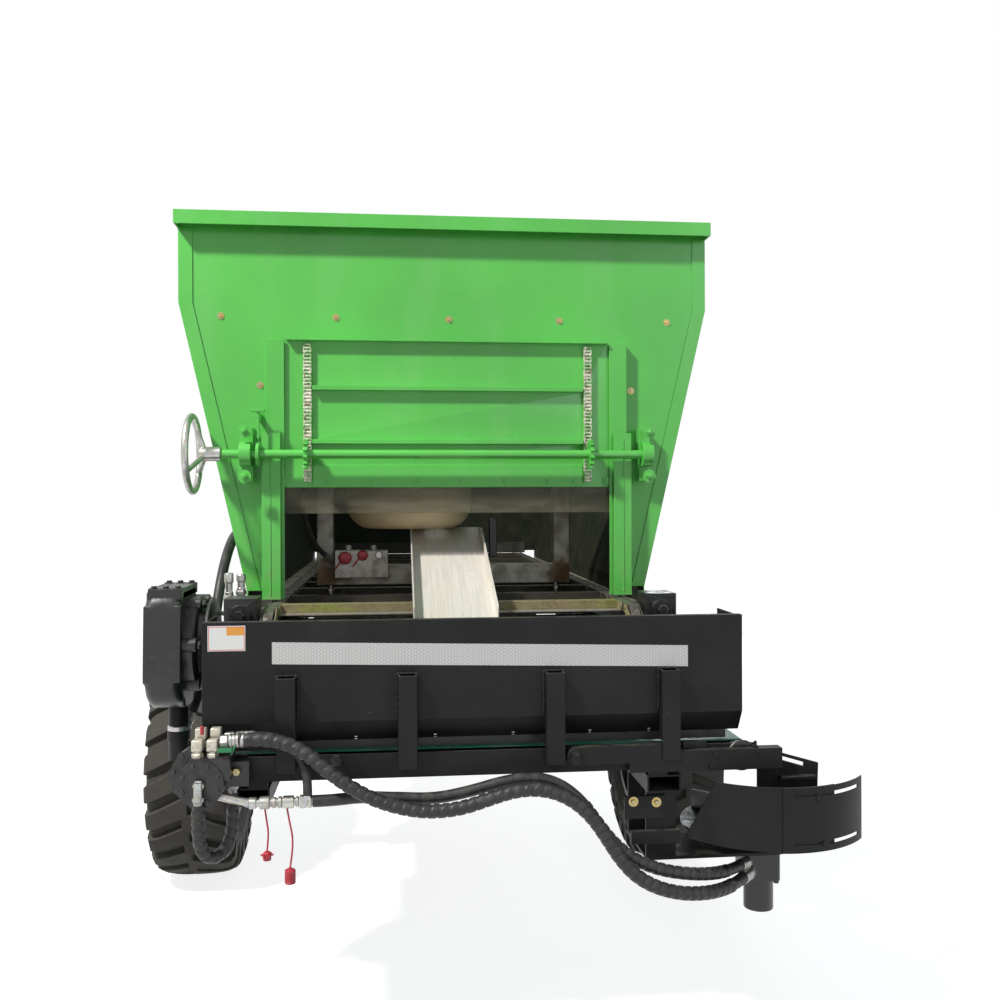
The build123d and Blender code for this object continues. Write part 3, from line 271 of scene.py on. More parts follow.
@finish("black_paint")
def black_enamel(f):
    """Satin black enamel: uneven gloss, dust on top faces and fine scratches."""
    black = tuple(palette().black)
    patches = f.noise(7, 5, 0.6)
    dust = f.span(f.upward(), 0.35, 0.95) * f.patches(31, 5, 0.7, 0.3, 0.62)
    film = f.patches(3.1, 6, 0.7, 0.46, 0.78)
    tone = f.mix(f.span(patches, 0.35, 0.7), shade(black, 0.8), shade(black, 1.35))
    tone = f.mix(film * 0.08, tone, (0.15, 0.14, 0.12))
    tone = f.mix(dust * 0.22, tone, (0.2, 0.18, 0.14))
    scratches = f.span(f.noise(60, 2, 0.5, (1, 1, 14)), 0.72, 0.74) * f.span(patches, 0.52, 0.6)
    f.feed(base_color=f.mix(scratches * 0.4, tone, (0.2, 0.2, 0.2)),
           roughness=0.36 + patches * 0.2 + dust * 0.3, specular_ior_level=0.22)
    f.bump(f.noise(4, 1) * 6 + f.noise(500, 1) * 0.4, 0.22, 0.0012)


@finish("black_paint")
def cast_enamel(f):
    """Thick black paint on rough castings, greyed by dust where it faces up."""
    dust = f.span(f.upward(), -0.2, 0.9) * f.patches(26, 6, 0.7, 0.34, 0.66)
    worn_off = f.patches(75, 4, 0.6, 0.63, 0.7)
    tone = f.mix(dust * 0.35, (0.017, 0.017, 0.018), (0.1, 0.095, 0.085))
    f.feed(base_color=f.mix(worn_off * 0.2, tone, (0.15, 0.145, 0.135)), roughness=0.3 + dust * 0.3,
           specular_ior_level=0.5)
    f.bump(f.noise(140, 4, 0.6) + f.noise(14, 2) * 2, 0.3, 0.0016)


@finish("tyre_rubber")
def tyre_rubber(f):
    """Brown-black rubber with dried dust in its grain and paler scuffed tips."""
    dust = f.patches(11, 8, 0.72, 0.34, 0.66)
    grain = f.noise(170, 4, 0.7)
    tone = f.mix(dust * 0.6, tuple(palette().rubber), (0.11, 0.1, 0.086))
    f.feed(base_color=f.mix(f.span(grain, 0.55, 0.75) * 0.35, tone, (0.15, 0.14, 0.125)),
           roughness=0.6 + dust * 0.3, specular_ior_level=0.3)
    f.bump(grain + f.noise(45, 3) * 2, 0.35, 0.0015)


@finish("chain_steel")
def chain_steel(f):
    """Oiled steel with brown dirt in patches and brighter worn spots; the slats are tan with old green, and
    inside the hopper painted shade makes them near-black.
    """
    dirt = f.patches(42, 6, 0.7, 0.36, 0.62)
    rust = f.patches(95, 4, 0.6, 0.55, 0.7)
    tone = f.mix(dirt, (0.2, 0.19, 0.175), (0.06, 0.052, 0.038))
    tone = f.mix(rust * 0.5, tone, (0.16, 0.075, 0.03))
    slat = f.math("ABSOLUTE", f.axis("X")) < SLAT_END
    patch = f.span(f.noise(9, 5, 0.6, (0.5, 2, 1)), 0.44, 0.6)
    load = f.mix(patch, (0.33, 0.28, 0.15), (0.3, 0.33, 0.07))
    load = f.mix(dirt * 0.5, load, (0.13, 0.1, 0.05))
    # Painted shade: slats past the rear panel, inside the hopper, fade to near-black.
    load = f.mix(f.span(f.axis("Y"), SHADED_SLAT_Y - 0.2, SHADED_SLAT_Y), load, (0.022, 0.019, 0.012))
    f.feed(base_color=f.mix(slat, tone, load), roughness=0.38 + dirt * 0.4,
           metallic=(0.85 - dirt * 0.6 - rust * 0.2) * (1 - slat * 0.9))
    f.bump(f.noise(210, 4), 0.5, 0.001)


@finish("chain_steel")
def overspray_steel(f):
    """Chain steel that caught green overspray."""
    dirt = f.patches(60, 6, 0.7, 0.46, 0.66)
    spray = f.patches(33, 4, 0.6, 0.44, 0.6)
    tone = f.mix(dirt, (0.74, 0.71, 0.6), (0.3, 0.25, 0.15))
    f.feed(base_color=f.mix(spray * 0.5, tone, tuple(palette().green)), roughness=0.4 + dirt * 0.3,
           metallic=0.75 - dirt * 0.4 - spray * 0.35)
    f.bump(f.noise(260, 3), 0.45, 0.0008)


@finish("galvanised")
def galvanised(f):
    """Zinc with faint spangle and dull white patches."""
    dull = f.patches(24, 5, 0.65, 0.42, 0.7)
    tone = f.mix(0.2, (0.46, 0.455, 0.43), f.spangle(150), "SOFT_LIGHT")
    f.feed(base_color=f.mix(dull * 0.5, tone, (0.27, 0.26, 0.235)), roughness=0.28 + dull * 0.3,
           metallic=0.95 - dull * 0.3)
    f.bump(f.noise(300, 2), 0.15, 0.0006)


@finish("galvanised")
def yellow_zinc(f):
    """Yellow passivated zinc, with the faint rainbow shift of such fasteners."""
    shift = f.noise(90, 3)
    f.feed(base_color=f.mix(f.span(shift, 0.38, 0.64), (0.5, 0.37, 0.13), (0.36, 0.33, 0.22)),
           roughness=0.26 + shift * 0.2, metallic=0.9)


@finish("stainless")
def frame_steel(f):
    """Dull square tube with weathered patches and rust round its welded corners."""
    dull = f.patches(18, 6, 0.65, 0.4, 0.66)
    tone = f.mix(dull, (0.4, 0.385, 0.34), (0.25, 0.23, 0.19))
    away = f.math("ABSOLUTE", f.math("ABSOLUTE", f.axis("X")) - FRAME_CORNER_X)
    rise = f.math("ABSOLUTE", f.axis("Z") - FRAME_CORNER_Z)
    rust = f.span(away + rise + f.noise(46, 5, 0.6) * 0.07, 0.115, 0.06)
    f.feed(base_color=f.mix(rust * 0.85, tone, (0.2, 0.1, 0.035)),
           roughness=0.42 + dull * 0.2 + rust * 0.25, metallic=0.4 - rust * 0.35)
    f.bump(f.noise(130, 4), 0.2, 0.0008)


@finish("stainless")
def stainless(f):
    """Brushed stainless sheet, dulled by a dry cream film with smears and spots."""
    brush = f.noise(180, 3, 0.6, (1, 0.03, 0.03))
    smear = f.span(f.noise(7, 6, 0.65, (1.6, 0.5, 1)), 0.44, 0.66)
    spots = f.patches(64, 3, 0.55, 0.62, 0.7)
    tone = f.mix(f.span(brush, 0.35, 0.65), (0.6, 0.57, 0.52), (0.7, 0.66, 0.6))
    tone = f.mix(smear * 0.5, tone, (0.6, 0.53, 0.43))
    f.feed(base_color=f.mix(spots * 0.25, tone, (0.36, 0.31, 0.24)),
           roughness=0.5 + smear * 0.25 + brush * 0.08, metallic=0.12 - smear * 0.1)
    f.bump(brush, 0.12, 0.0004)


@finish("cream_plastic")
def cream_plastic(f):
    """Moulded plastic, stained brown towards the bottom."""
    cream = tuple(palette().cream)
    stain = f.patches(9, 6, 0.62, 0.42, 0.72)
    low = f.span(f.axis("Z"), 1.42, 1.2)
    tone = f.mix(stain * 0.3, cream, shade(cream, 0.72))
    tone = f.mix(low * 0.35, tone, (0.62, 0.5, 0.3))
    foot = f.span(f.axis("Z") + f.noise(21, 6, 0.65) * 0.06, 1.262, 1.225)
    f.feed(base_color=f.mix(foot * 0.6, tone, (0.3, 0.2, 0.09)), roughness=0.36 + stain * 0.25,
           subsurface_weight=0.12, subsurface_radius=(0.02, 0.014, 0.008))
    f.bump(f.noise(60, 3), 0.1, 0.001)


@finish("flap_rubber")
def flap_rubber(f):
    """Smoky see-through sheet, hazed where it is dusty."""
    smear = f.span(f.noise(6, 6, 0.7, (0.5, 1, 2)), 0.36, 0.7)
    f.feed(base_color=f.mix(smear, (0.1, 0.088, 0.05), (0.24, 0.22, 0.15)), alpha=0.3 + smear * 0.2,
           roughness=0.26 + smear * 0.35)
    f.bump(f.noise(26, 3), 0.25, 0.002)


@finish("red_plastic")
def red_plastic(f):
    """Red plastic with darker worn patches."""
    red = tuple(palette().red)
    dust = f.patches(70, 4, 0.6, 0.5, 0.75)
    f.feed(base_color=f.mix(dust * 0.4, red, shade(red, 0.55)), roughness=0.32 + dust * 0.3,
           specular_ior_level=0.5)


@finish()
def reflective_tape(f):
    """White tape with a honeycomb net of grey lines."""
    x, z = f.axis("X") * 900, f.axis("Z") * 900
    waves = None
    for angle in (0, 60, 120):
        turn = math.radians(angle)
        wave = f.math("COSINE", x * math.cos(turn) + z * math.sin(turn))
        waves = wave if waves is None else waves + wave
    net = f.span(waves, -1.5, -0.7, 1, 0)
    f.feed(base_color=f.mix(net * 0.75, (0.68, 0.67, 0.65), (0.34, 0.34, 0.34)), roughness=0.3 + net * 0.2,
           coat_weight=0.4)


@finish()
def plate_white(f):
    """Blank sign plate: white, with a red rule round it and an orange corner."""
    low, high = SIGN_LOW, SIGN_HIGH
    x, z = f.axis("X"), f.axis("Z")

    def within(edge):
        return (x > low.x + edge) * (x < high.x - edge) * (z > low.z + edge) * (z < high.z - edge)

    rule = 0.0016
    core = within(2 * rule)
    tone = f.mix(within(rule) - core, (0.85, 0.85, 0.83), (0.7, 0.12, 0.1))
    corner = core * (x > low.x + 0.5 * (high.x - low.x)) * (z > low.z + 0.62 * (high.z - low.z))
    f.feed(base_color=f.mix(corner, tone, (0.85, 0.36, 0.06)), roughness=0.35, coat_weight=0.3)


@finish()
def clip_green(f):
    """Plain green plastic of the port clip."""
    f.feed(base_color=f.mix(f.noise(90, 3), (0.02, 0.18, 0.06), (0.05, 0.28, 0.12)), roughness=0.4)


def worn(name, slot, noise, span, share, unmarked, dirty, roughness, bump, metal=None, **levels):
    """Lists a two-tone finish whose patches of dirt dull it too.

    noise holds the settings of the patches and span the values between which they fade in; share is
    the most that they cover. roughness and metal are (clean, added by dirt), and bump is (noise
    settings, strength, distance).
    """
    def make(f):
        dirt = f.span(f.noise(*noise), *span)
        f.feed(base_color=f.mix(dirt * share, unmarked, dirty), roughness=roughness[0] + dirt * roughness[1],
               **levels)
        if metal:
            f.feed(metallic=metal[0] + dirt * metal[1])
        f.bump(f.noise(*bump[0]), *bump[1:])
    FINISHES[name] = (make, slot)


worn("wheel_enamel", "rim_paint", (16, 6, 0.7), (0.38, 0.7), 0.5,
     (0.085, 0.087, 0.09), (0.26, 0.22, 0.16), (0.38, 0.35), ((240, 2), 0.15, 0.0008))
worn("hose_rubber", "hose_rubber", (38, 5, 0.7), (0.45, 0.72), 0.45,
     (0.022, 0.022, 0.024), (0.13, 0.12, 0.1), (0.42, 0.35), ((320, 3), 0.25, 0.0008), specular_ior_level=0.4)
worn("belt_green", "belt_rubber", (14, 6, 0.7), (0.45, 0.74), 0.6,
     (0.016, 0.17, 0.115), (0.16, 0.16, 0.12), (0.4, 0.4), ((380, 2), 0.2, 0.0006))
worn("black_rubber", "belt_rubber", (21, 6, 0.7), (0.44, 0.7), 0.5,
     (0.018, 0.02, 0.018), (0.1, 0.095, 0.08), (0.5, 0.35), ((120, 3), 0.2, 0.001))
worn("bare_steel", "bare_steel", (12, 7, 0.7), (0.38, 0.66), 1,
     (0.42, 0.4, 0.36), (0.2, 0.15, 0.09), (0.36, 0.4), ((150, 4), 0.3, 0.001), metal=(0.8, -0.6))
worn("brass_cream", "galvanised", (85, 5, 0.65), (0.5, 0.7), 0.6,
     (0.64, 0.6, 0.5), (0.3, 0.26, 0.2), (0.34, 0.3), ((260, 3), 0.2, 0.0006), metallic=0.45)
worn("valve_grey", "cream_plastic", (40, 5, 0.65), (0.45, 0.68), 0.6,
     (0.56, 0.54, 0.49), (0.34, 0.31, 0.26), (0.38, 0.25), ((180, 3), 0.15, 0.0006), metallic=0.2)


def finish_of(finish_name):
    """The material of a finish, made when it is first asked for."""
    if finish_name not in made_finishes:
        made = Finish(finish_name)
        FINISHES[finish_name][0](made)
        made_finishes[finish_name] = made.material
    return made_finishes[finish_name]


def paint(piece, finish_name):
    """Gives a piece its finish."""
    piece.data.materials.clear()
    piece.data.materials.append(finish_of(finish_name))
    return piece


# Mesh helpers
MERGE = 0.00001
FLAT_ANGLE = math.radians(0.6)
BEVEL_ANGLE = math.radians(35)


def add_piece(bm, name, finish_name, body, smooth, bevel, segments):
    """Closes a bmesh into a named piece that rides on a body."""
    mesh = bpy.data.meshes.new(name)
    bm.to_mesh(mesh)
    bm.free()
    piece = bpy.data.objects.new(name, mesh)
    bpy.context.scene.collection.objects.link(piece)
    mesh.shade_smooth()
    mesh.set_sharp_from_angle(angle=math.radians(smooth))
    if bevel:
        edge = piece.modifiers.new("rounded_edges", "BEVEL")
        edge.width = bevel
        edge.segments = segments
        edge.limit_method = "ANGLE"
        edge.angle_limit = BEVEL_ANGLE
        edge.harden_normals = True
    paint(piece, finish_name)
    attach(piece, body)
    return piece


def to_piece(bm, name, finish_name, body=MACHINE, smooth=35, bevel=0.0, segments=2):
    """A piece from a bmesh of closed shapes, with every face turned outwards."""
    bmesh.ops.recalc_face_normals(bm, faces=bm.faces)
    return add_piece(bm, name, finish_name, body, smooth, bevel, segments)


def dress(node, finish_name, bevel, smooth=32, segments=2, inside=None):
    """A merged copy of a CAD node, with its small edges rounded, that stands for the node.

    Faces that look along the inside direction get the finish of the hopper's inside.
    """
    source = frame["nodes"][node]
    bm = bmesh.new()
    bm.from_mesh(source.data)
    bmesh.ops.remove_doubles(bm, verts=bm.verts, dist=2 * MERGE)
    bmesh.ops.dissolve_limit(
        bm, angle_limit=FLAT_ANGLE, verts=bm.verts, edges=bm.edges, delimit={"NORMAL"})
    for edge in bm.edges:
        edge.smooth = True
    piece = add_piece(bm, node + "_finish", finish_name, source["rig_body"], smooth, bevel, segments)
    if inside is not None:
        piece.data.materials.append(finish_of("hopper_inside"))
        for face in piece.data.polygons:
            face.material_index = int(face.normal.dot(inside) > 0.5)
    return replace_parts(piece, node)


def aim(start, direction):
    """Matrix that takes +Z at the origin to a direction at a start point."""
    return Matrix.Translation(start) @ direction.to_track_quat("Z", "Y").to_matrix().to_4x4()


def lathe(bm, rows, start, direction, steps=24):
    """Turns (along, radius) rows about a line."""
    verts = [bm.verts.new((radius, 0, along)) for along, radius in rows]
    edges = [bm.edges.new(pair) for pair in zip(verts, verts[1:])]
    bmesh.ops.spin(
        bm, geom=verts + edges, cent=(0, 0, 0), axis=UP, angle=math.tau, steps=steps, use_merge=True)
    made = linked(verts)
    bmesh.ops.remove_doubles(bm, verts=made, dist=MERGE)
    made = [v for v in made if v.is_valid]
    bmesh.ops.transform(bm, matrix=aim(start, direction), verts=made)
    return made


def linked(seeds):
    """All vertices joined by edges to the seeds."""
    found = set(seeds)
    stack = list(seeds)
    while stack:
        for edge in stack.pop().link_edges:
            for vert in edge.verts:
                if vert not in found:
                    found.add(vert)
                    stack.append(vert)
    return list(found)


def slab(bm, low, high):
    """Box between two corners."""
    matrix = Matrix.Translation((low + high) / 2) @ Matrix.Diagonal((*(high - low), 1))
    return bmesh.ops.create_cube(bm, size=1, matrix=matrix)["verts"]


def edges_of(verts):
    """All edges that end at the vertices."""
    return list({edge for vert in verts for edge in vert.link_edges})


def round_edges(bm, edges, width, segments):
    """Gives edges a round of a few segments."""
    bmesh.ops.bevel(bm, geom=edges, offset=width, offset_type="OFFSET", affect="EDGES", segments=segments,
                    profile=0.5, material=-1)


def outward(turn, axes="xy"):
    """Unit vector at an angle in the plane of two axes."""
    way = Vector((0, 0, 0))
    setattr(way, axes[0], math.cos(turn))
    setattr(way, axes[1], math.sin(turn))
    return way


def stick(bm, start, end, radius, steps=12):
    """Closed round bar between two points."""
    way = end - start
    return lathe(bm, [(0, 0), (0, radius), (way.length, radius), (way.length, 0)], start, way, steps)


def hexagon(bm, start, direction, flats, height):
    """Chamfered hexagon head."""
    corner = flats / math.sqrt(3)
    rows = [(0, 0), (0, corner), (height * 0.78, corner), (height, corner * 0.86), (height, 0)]
    return lathe(bm, rows, start, direction, 6)


def bolt(bm, seat, direction, flats, thread=0.0):
    """Washer, head and, where it shows, the thread's end beyond a nut."""
    way = direction.normalized()
    washer = flats * 1.05
    rows = [(0, 0), (0, washer * 0.92), (flats * 0.04, washer), (flats * 0.12, washer), (flats * 0.14, 0)]
    lathe(bm, rows, seat, way, 20)
    hexagon(bm, seat + way * flats * 0.13, way, flats, flats * 0.42)
    if thread:
        start = seat + way * flats * 0.5
        rows = [(0, flats * 0.3), (thread * 0.9, flats * 0.3), (thread, flats * 0.24), (thread, 0)]
        lathe(bm, rows, start, way, 14)


def link_plate(bm, first, second, radius, thick):
    """Side plate of a chain round two pins that lie along X."""
    verts = []
    for pin in (first, second):
        for offset in (0, thick):
            matrix = Matrix.Translation(pin + Vector((offset, 0, 0))) @ Matrix.Rotation(math.pi / 2, 4, "Y")
            verts += bmesh.ops.create_circle(bm, segments=10, radius=radius, matrix=matrix)["verts"]
    hull = bmesh.ops.convex_hull(bm, input=verts)
    hidden = [item for item in hull["geom_interior"] if isinstance(item, bmesh.types.BMVert)]
    bmesh.ops.delete(bm, geom=hidden, context="VERTS")


def bolts(name, seats, direction, flats, finish_name, body=MACHINE, thread=0.0):
    """One piece with a bolt on every seat."""
    bm = bmesh.new()
    for seat in seats:
        bolt(bm, seat, direction, flats, thread)
    return to_piece(bm, name, finish_name, body, smooth=30)


def weld(bm, start, end, width):
    """Row of overlapping ripples along a seam."""
    way = end - start
    count = max(2, int(way.length / sizes().weld_pitch))
    turn = way.to_track_quat("Z", "Y").to_matrix().to_4x4()
    for index in range(count + 1):
        wobble = 1 + 0.14 * math.sin(index * 2.4) + 0.1 * math.sin(index * 0.73)
        centre = start + way * (index / count)
        matrix = Matrix.Translation(centre) @ turn @ Matrix.Diagonal((wobble, wobble, 1.5, 1))
        bmesh.ops.create_uvsphere(bm, u_segments=7, v_segments=5, radius=width / 2, matrix=matrix)


def welds(name, seams, width, finish_name):
    """One piece with a weld along every seam."""
    bm = bmesh.new()
    for start, end in seams:
        weld(bm, start, end, width)
    return to_piece(bm, name, finish_name, smooth=60)


# Hoses
def route(name, points, radius):
    """NURBS centre line through the route's control points, with no thickness yet."""
    curve = bpy.data.curves.new(name, "CURVE")
    curve.dimensions = "3D"
    curve.resolution_u = 10
    spline = curve.splines.new("NURBS")
    spline.points.add(len(points) - 1)
    for control, point in zip(spline.points, points):
        control.co = (*at(*point), 1)
        control.radius = radius
    spline.order_u = 3
    spline.use_endpoint_u = True
    piece = bpy.data.objects.new(name, curve)
    bpy.context.scene.collection.objects.link(piece)
    return piece


def centre_line(piece):
    """Points along a route's curve, read before it is given its thickness."""
    mesh = bpy.data.meshes.new_from_object(piece)
    points = [v.co.copy() for v in mesh.vertices]
    bpy.data.meshes.remove(mesh)
    return points


def line_length(points):
    """Length of a line of points."""
    return sum((b - a).length for a, b in zip(points, points[1:]))


def walk(points, step):
    """(point, direction) pairs every step along a line of points."""
    stations = []
    left = 0.0
    for a, b in zip(points, points[1:]):
        way = b - a
        while left <= way.length:
            stations.append((a + way * (left / way.length), way.normalized()))
            left += step
        left -= way.length
    return stations


def spiral_wrap(name, points, radius, start, end, pitch, band):
    """Flat rubber strip wound round a hose from start to end metres along it."""
    around = 18
    step = pitch / 7
    above, below = 0.0017, -0.001
    bm = bmesh.new()
    rings = []
    side = Vector((0, 1, 0))
    for index, (point, way) in enumerate(walk(points, step)):
        along = index * step
        if not start <= along <= end:
            continue
        side = (side - way * side.dot(way)).normalized()
        up = way.cross(side)
        ring = []
        for corner in range(around):
            share = corner / around
            turn = math.tau * share
            lift = above if (along / pitch + share) % 1 < band else below
            ring.append(bm.verts.new(point + (side * math.cos(turn) + up * math.sin(turn)) * (radius + lift)))
        rings.append(ring)
    for ring in (rings[0], rings[-1]):
        bm.faces.new(ring)
    loops = [[bm.edges.get(pair) or bm.edges.new(pair) for pair in zip(ring, ring[1:] + ring[:1])]
             for ring in rings]
    for first, second in zip(loops, loops[1:]):
        bmesh.ops.bridge_loops(bm, edges=first + second)
    return to_piece(bm, name, "hose_rubber", smooth=70)


# (radius, route points in metres from the rear panel) by node
HOSES = {
    "hose_spinner_feed": (0.014, [
        (-0.484, -0.584, 0.780), (-0.436, -0.585, 0.782), (-0.386, -0.587, 0.772), (-0.339, -0.592, 0.748),
        (-0.297, -0.598, 0.712), (-0.253, -0.602, 0.679), (-0.202, -0.604, 0.650), (-0.142, -0.604, 0.628),
        (-0.076, -0.604, 0.617), (-0.008, -0.604, 0.622), (0.050, -0.604, 0.640), (0.104, -0.604, 0.656),
        (0.154, -0.604, 0.660), (0.203, -0.604, 0.650), (0.247, -0.604, 0.626), (0.283, -0.604, 0.591),
        (0.312, -0.604, 0.549), (0.341, -0.603, 0.502), (0.377, -0.602, 0.460), (0.424, -0.599, 0.430),
        (0.480, -0.591, 0.411), (0.536, -0.573, 0.400), (0.590, -0.543, 0.393), (0.640, -0.501, 0.389),
        (0.684, -0.450, 0.387),
    ]),
    "hose_spinner_return": (0.013, [
        (-0.330, -0.575, 0.641), (-0.288, -0.575, 0.641), (-0.230, -0.572, 0.646), (-0.150, -0.568, 0.640),
        (-0.066, -0.566, 0.634), (0.014, -0.566, 0.648), (0.088, -0.566, 0.668), (0.158, -0.567, 0.676),
        (0.214, -0.568, 0.660), (0.262, -0.569, 0.622), (0.298, -0.570, 0.572), (0.336, -0.570, 0.522),
        (0.384, -0.570, 0.482), (0.446, -0.569, 0.456), (0.514, -0.560, 0.441), (0.578, -0.534, 0.429),
        (0.634, -0.492, 0.420), (0.680, -0.442, 0.413),
    ]),
    "hose_coupler": (0.010, [
        (-0.466, -0.554, 0.781), (-0.4245, -0.554, 0.781), (-0.386, -0.556, 0.765), (-0.357, -0.563, 0.736),
        (-0.341, -0.575, 0.698), (-0.341, -0.575, 0.6565),
    ]),
    "hose_motor_loop": (0.012, [
        (-0.566, -0.616, 0.652), (-0.566, -0.616, 0.622), (-0.565, -0.615, 0.590), (-0.562, -0.611, 0.560),
        (-0.552, -0.599, 0.536), (-0.536, -0.579, 0.527), (-0.519, -0.559, 0.536), (-0.509, -0.546, 0.560),
        (-0.5055, -0.5415, 0.592), (-0.505, -0.541, 0.624), (-0.505, -0.541, 0.655),
    ]),
    "hose_lift": (0.014, [
        (-0.605, 0.312, 1.206), (-0.605, 0.262, 1.206), (-0.609, 0.190, 1.200), (-0.612, 0.118, 1.178),
        (-0.616, 0.050, 1.136), (-0.620, -0.008, 1.078), (-0.625, -0.050, 1.006), (-0.632, -0.072, 0.928),
        (-0.646, -0.090, 0.852), (-0.664, -0.112, 0.784), (-0.680, -0.142, 0.732),
    ]),
    "hose_additive": (0.008, [
        (-0.404, 0.036, 1.388), (-0.404, 0.036, 1.354), (-0.405, 0.044, 1.318), (-0.406, 0.062, 1.283),
        (-0.405, 0.090, 1.252), (-0.401, 0.124, 1.225), (-0.395, 0.158, 1.197), (-0.386, 0.190, 1.169),
        (-0.372, 0.218, 1.144), (-0.352, 0.240, 1.126),
    ]),
    "cap_cord_short": (0.002, [
        (-0.432, -0.575, 0.6262), (-0.429, -0.576, 0.604), (-0.425, -0.576, 0.580), (-0.426, -0.575, 0.558),
        (-0.428, -0.575, 0.5363),
    ]),
    "cap_cord_long": (0.002, [
        (-0.385, -0.575, 0.6262), (-0.380, -0.576, 0.598), (-0.373, -0.576, 0.565), (-0.374, -0.575, 0.532),
        (-0.379, -0.575, 0.4983),
    ]),
}


def ferrule(bm, start, direction, radius, length):
    """Crimped sleeve with grooves, and a hexagon nut beyond it."""
    wide = radius * 1.22
    rows = [(0, 0), (0, radius * 1.02), (length * 0.04, wide)]
    for share in (0.2, 0.34, 0.48):
        rows += [(length * share, wide), (length * (share + 0.03), wide * 0.9), (length * (share + 0.06), wide)]
    rows += [(length * 0.62, wide), (length * 0.66, radius * 0.8), (length, radius * 0.8), (length, 0)]
    lathe(bm, rows, start, direction, 24)
    nut = start + direction.normalized() * length * 0.7
    hexagon(bm, nut, direction, radius * 2.1, length * 0.3)


def make_hose(name):
    """One hose or cord on its route, with its thickness."""
    radius, points = HOSES[name]
    piece = route(name + "_run", points, radius)
    line = centre_line(piece)
    piece.data.bevel_depth = 1
    piece.data.bevel_resolution = 5
    piece.data.use_fill_caps = True
    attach(piece, MACHINE)
    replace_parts(piece, name)
    return piece, line


def tip_of(name, last):
    """The end of a hose's route and the direction in which the hose arrives there."""
    points = HOSES[name][1]
    tip, neighbour = [at(*point) for point in (points[:-3:-1] if last else points[:2])]
    return tip, (tip - neighbour).normalized()


# Dust caps
def star_cap():
    """Dust cap with a winged flange, at the end of the short cord."""
    foot = at(-0.428, -0.575, 0.516)
    bm = bmesh.new()
    rows = [(0, 0), (0, 0.0075), (0.0015, 0.009), (0.0095, 0.009), (0.0115, 0.0085), (0.0165, 0.0085),
            (0.0185, 0.0065), (0.020, 0.003), (0.020, 0)]
    lathe(bm, rows, foot, UP, 28)
    wings, flange = 6, foot + UP * 0.012
    for index in range(wings):
        out = outward(math.tau * index / wings)
        stick(bm, flange + out * 0.005, flange + out * 0.0138, 0.0024, 10)
    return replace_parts(to_piece(bm, "star_cap", "red_plastic", bevel=0.0004), "dust_caps")


def plain_cap():
    """Ribbed cylinder cap, at the end of the long cord."""
    foot = at(-0.379, -0.575, 0.464)
    bm = bmesh.new()
    rows = [(0, 0), (0, 0.0105), (0.001, 0.0118), (0.004, 0.0118), (0.0045, 0.0112), (0.024, 0.0112),
            (0.0245, 0.0118), (0.028, 0.0118), (0.030, 0.0105), (0.0308, 0.005), (0.034, 0.004), (0.034, 0)]
    lathe(bm, rows, foot, UP, 32)
    ribs = 16
    for index in range(ribs):
        rib = foot + outward(math.tau * index / ribs) * 0.0112
        stick(bm, rib + UP * 0.005, rib + UP * 0.0235, 0.0007, 6)
    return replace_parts(to_piece(bm, "plain_cap", "red_plastic", bevel=0.0004), "dust_caps")


# Properties of the panel
def length(name, description, default):
    """Property that holds a length in metres."""
    return bpy.props.FloatProperty(name=name, description=description, default=default, unit="LENGTH")


def color(name, description, default):
    """Property that holds a colour."""
    return bpy.props.FloatVectorProperty(name=name, description=description, default=default, subtype="COLOR")


class SpreaderSizes(bpy.types.PropertyGroup):
    edge_round: length("Edge round", "Radius of the small edges of sheet and bar", 0.0012)
    weld_pitch: length("Weld pitch", "Distance between ripples of a weld bead", 0.006)
    lug_count: bpy.props.IntProperty(
        name="Lugs a side", description="Lugs on each side of a tyre", default=24)
    lug_height: length("Lug height", "Height of the lugs above the tyre's crown", 0.0205)
    wrap_pitch: length("Wrap pitch", "Pitch of the spiral strip on the hoses", 0.021)
    panel_bolt: length("Panel bolt", "Width across flats of the hopper's bolts", 0.009)
    chain_pitch: length("Apron chain pitch", "Pitch of the apron's chain links", 0.05)


class SpreaderColours(bpy.types.PropertyGroup):
    green: color("Green", "Enamel of the hopper", (0.1, 0.53, 0.075))
    black: color("Black", "Enamel of chassis and trough", (0.009, 0.009, 0.0095))
    rubber: color("Tyre rubber", "Tyres", (0.045, 0.042, 0.038))
    cream: color("Cream", "Plastic bowl", (0.72, 0.6, 0.38))
    red: color("Red", "Dust caps", (0.5, 0.035, 0.05))


def sizes():
    """The lengths and counts that the panel's properties hold."""
    return bpy.context.scene.spreader_sizes


# Tyres. TYRE_SECTION holds (x, radius) from the tread's middle line to the bead.
TYRE_LOW, TYRE_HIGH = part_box("tyre_right")
TYRE_CENTRE = (TYRE_LOW + TYRE_HIGH) / 2
TYRE_HALF = (TYRE_HIGH.x - TYRE_LOW.x) / 2
TYRE_RADIUS = (TYRE_HIGH.z - TYRE_LOW.z) / 2
BEAD_RADIUS = 0.195
TYRE_SECTION = (
    (0.000, 0.366), (0.040, 0.3655), (0.080, 0.362), (0.104, 0.3565), (0.117, 0.348), (0.1245, 0.334),
    (0.1275, 0.318), (0.1285, 0.300), (0.1275, 0.298), (0.1285, 0.296), (0.1275, 0.276), (0.124, 0.256),
    (0.121, 0.254), (0.121, 0.250), (0.117, 0.236), (0.110, 0.224), (0.106, 0.216), (0.105, 0.210),
)


def section_point(x):
    """(x, radius, outward x, outward radius) on the tyre's outer section, by distance from its middle line."""
    left = abs(x)
    for (x0, r0), (x1, r1) in zip(TYRE_SECTION, TYRE_SECTION[1:]):
        run = math.hypot(x1 - x0, r1 - r0)
        if left <= run:
            share = left / run
            return x0 + (x1 - x0) * share, r0 + (r1 - r0) * share, (r0 - r1) / run, (x1 - x0) / run
        left -= run
    return (*TYRE_SECTION[-1], 1.0, 0.0)


def clamped(value):
    """A value kept between 0 and 1."""
    return min(1.0, max(0.0, value))


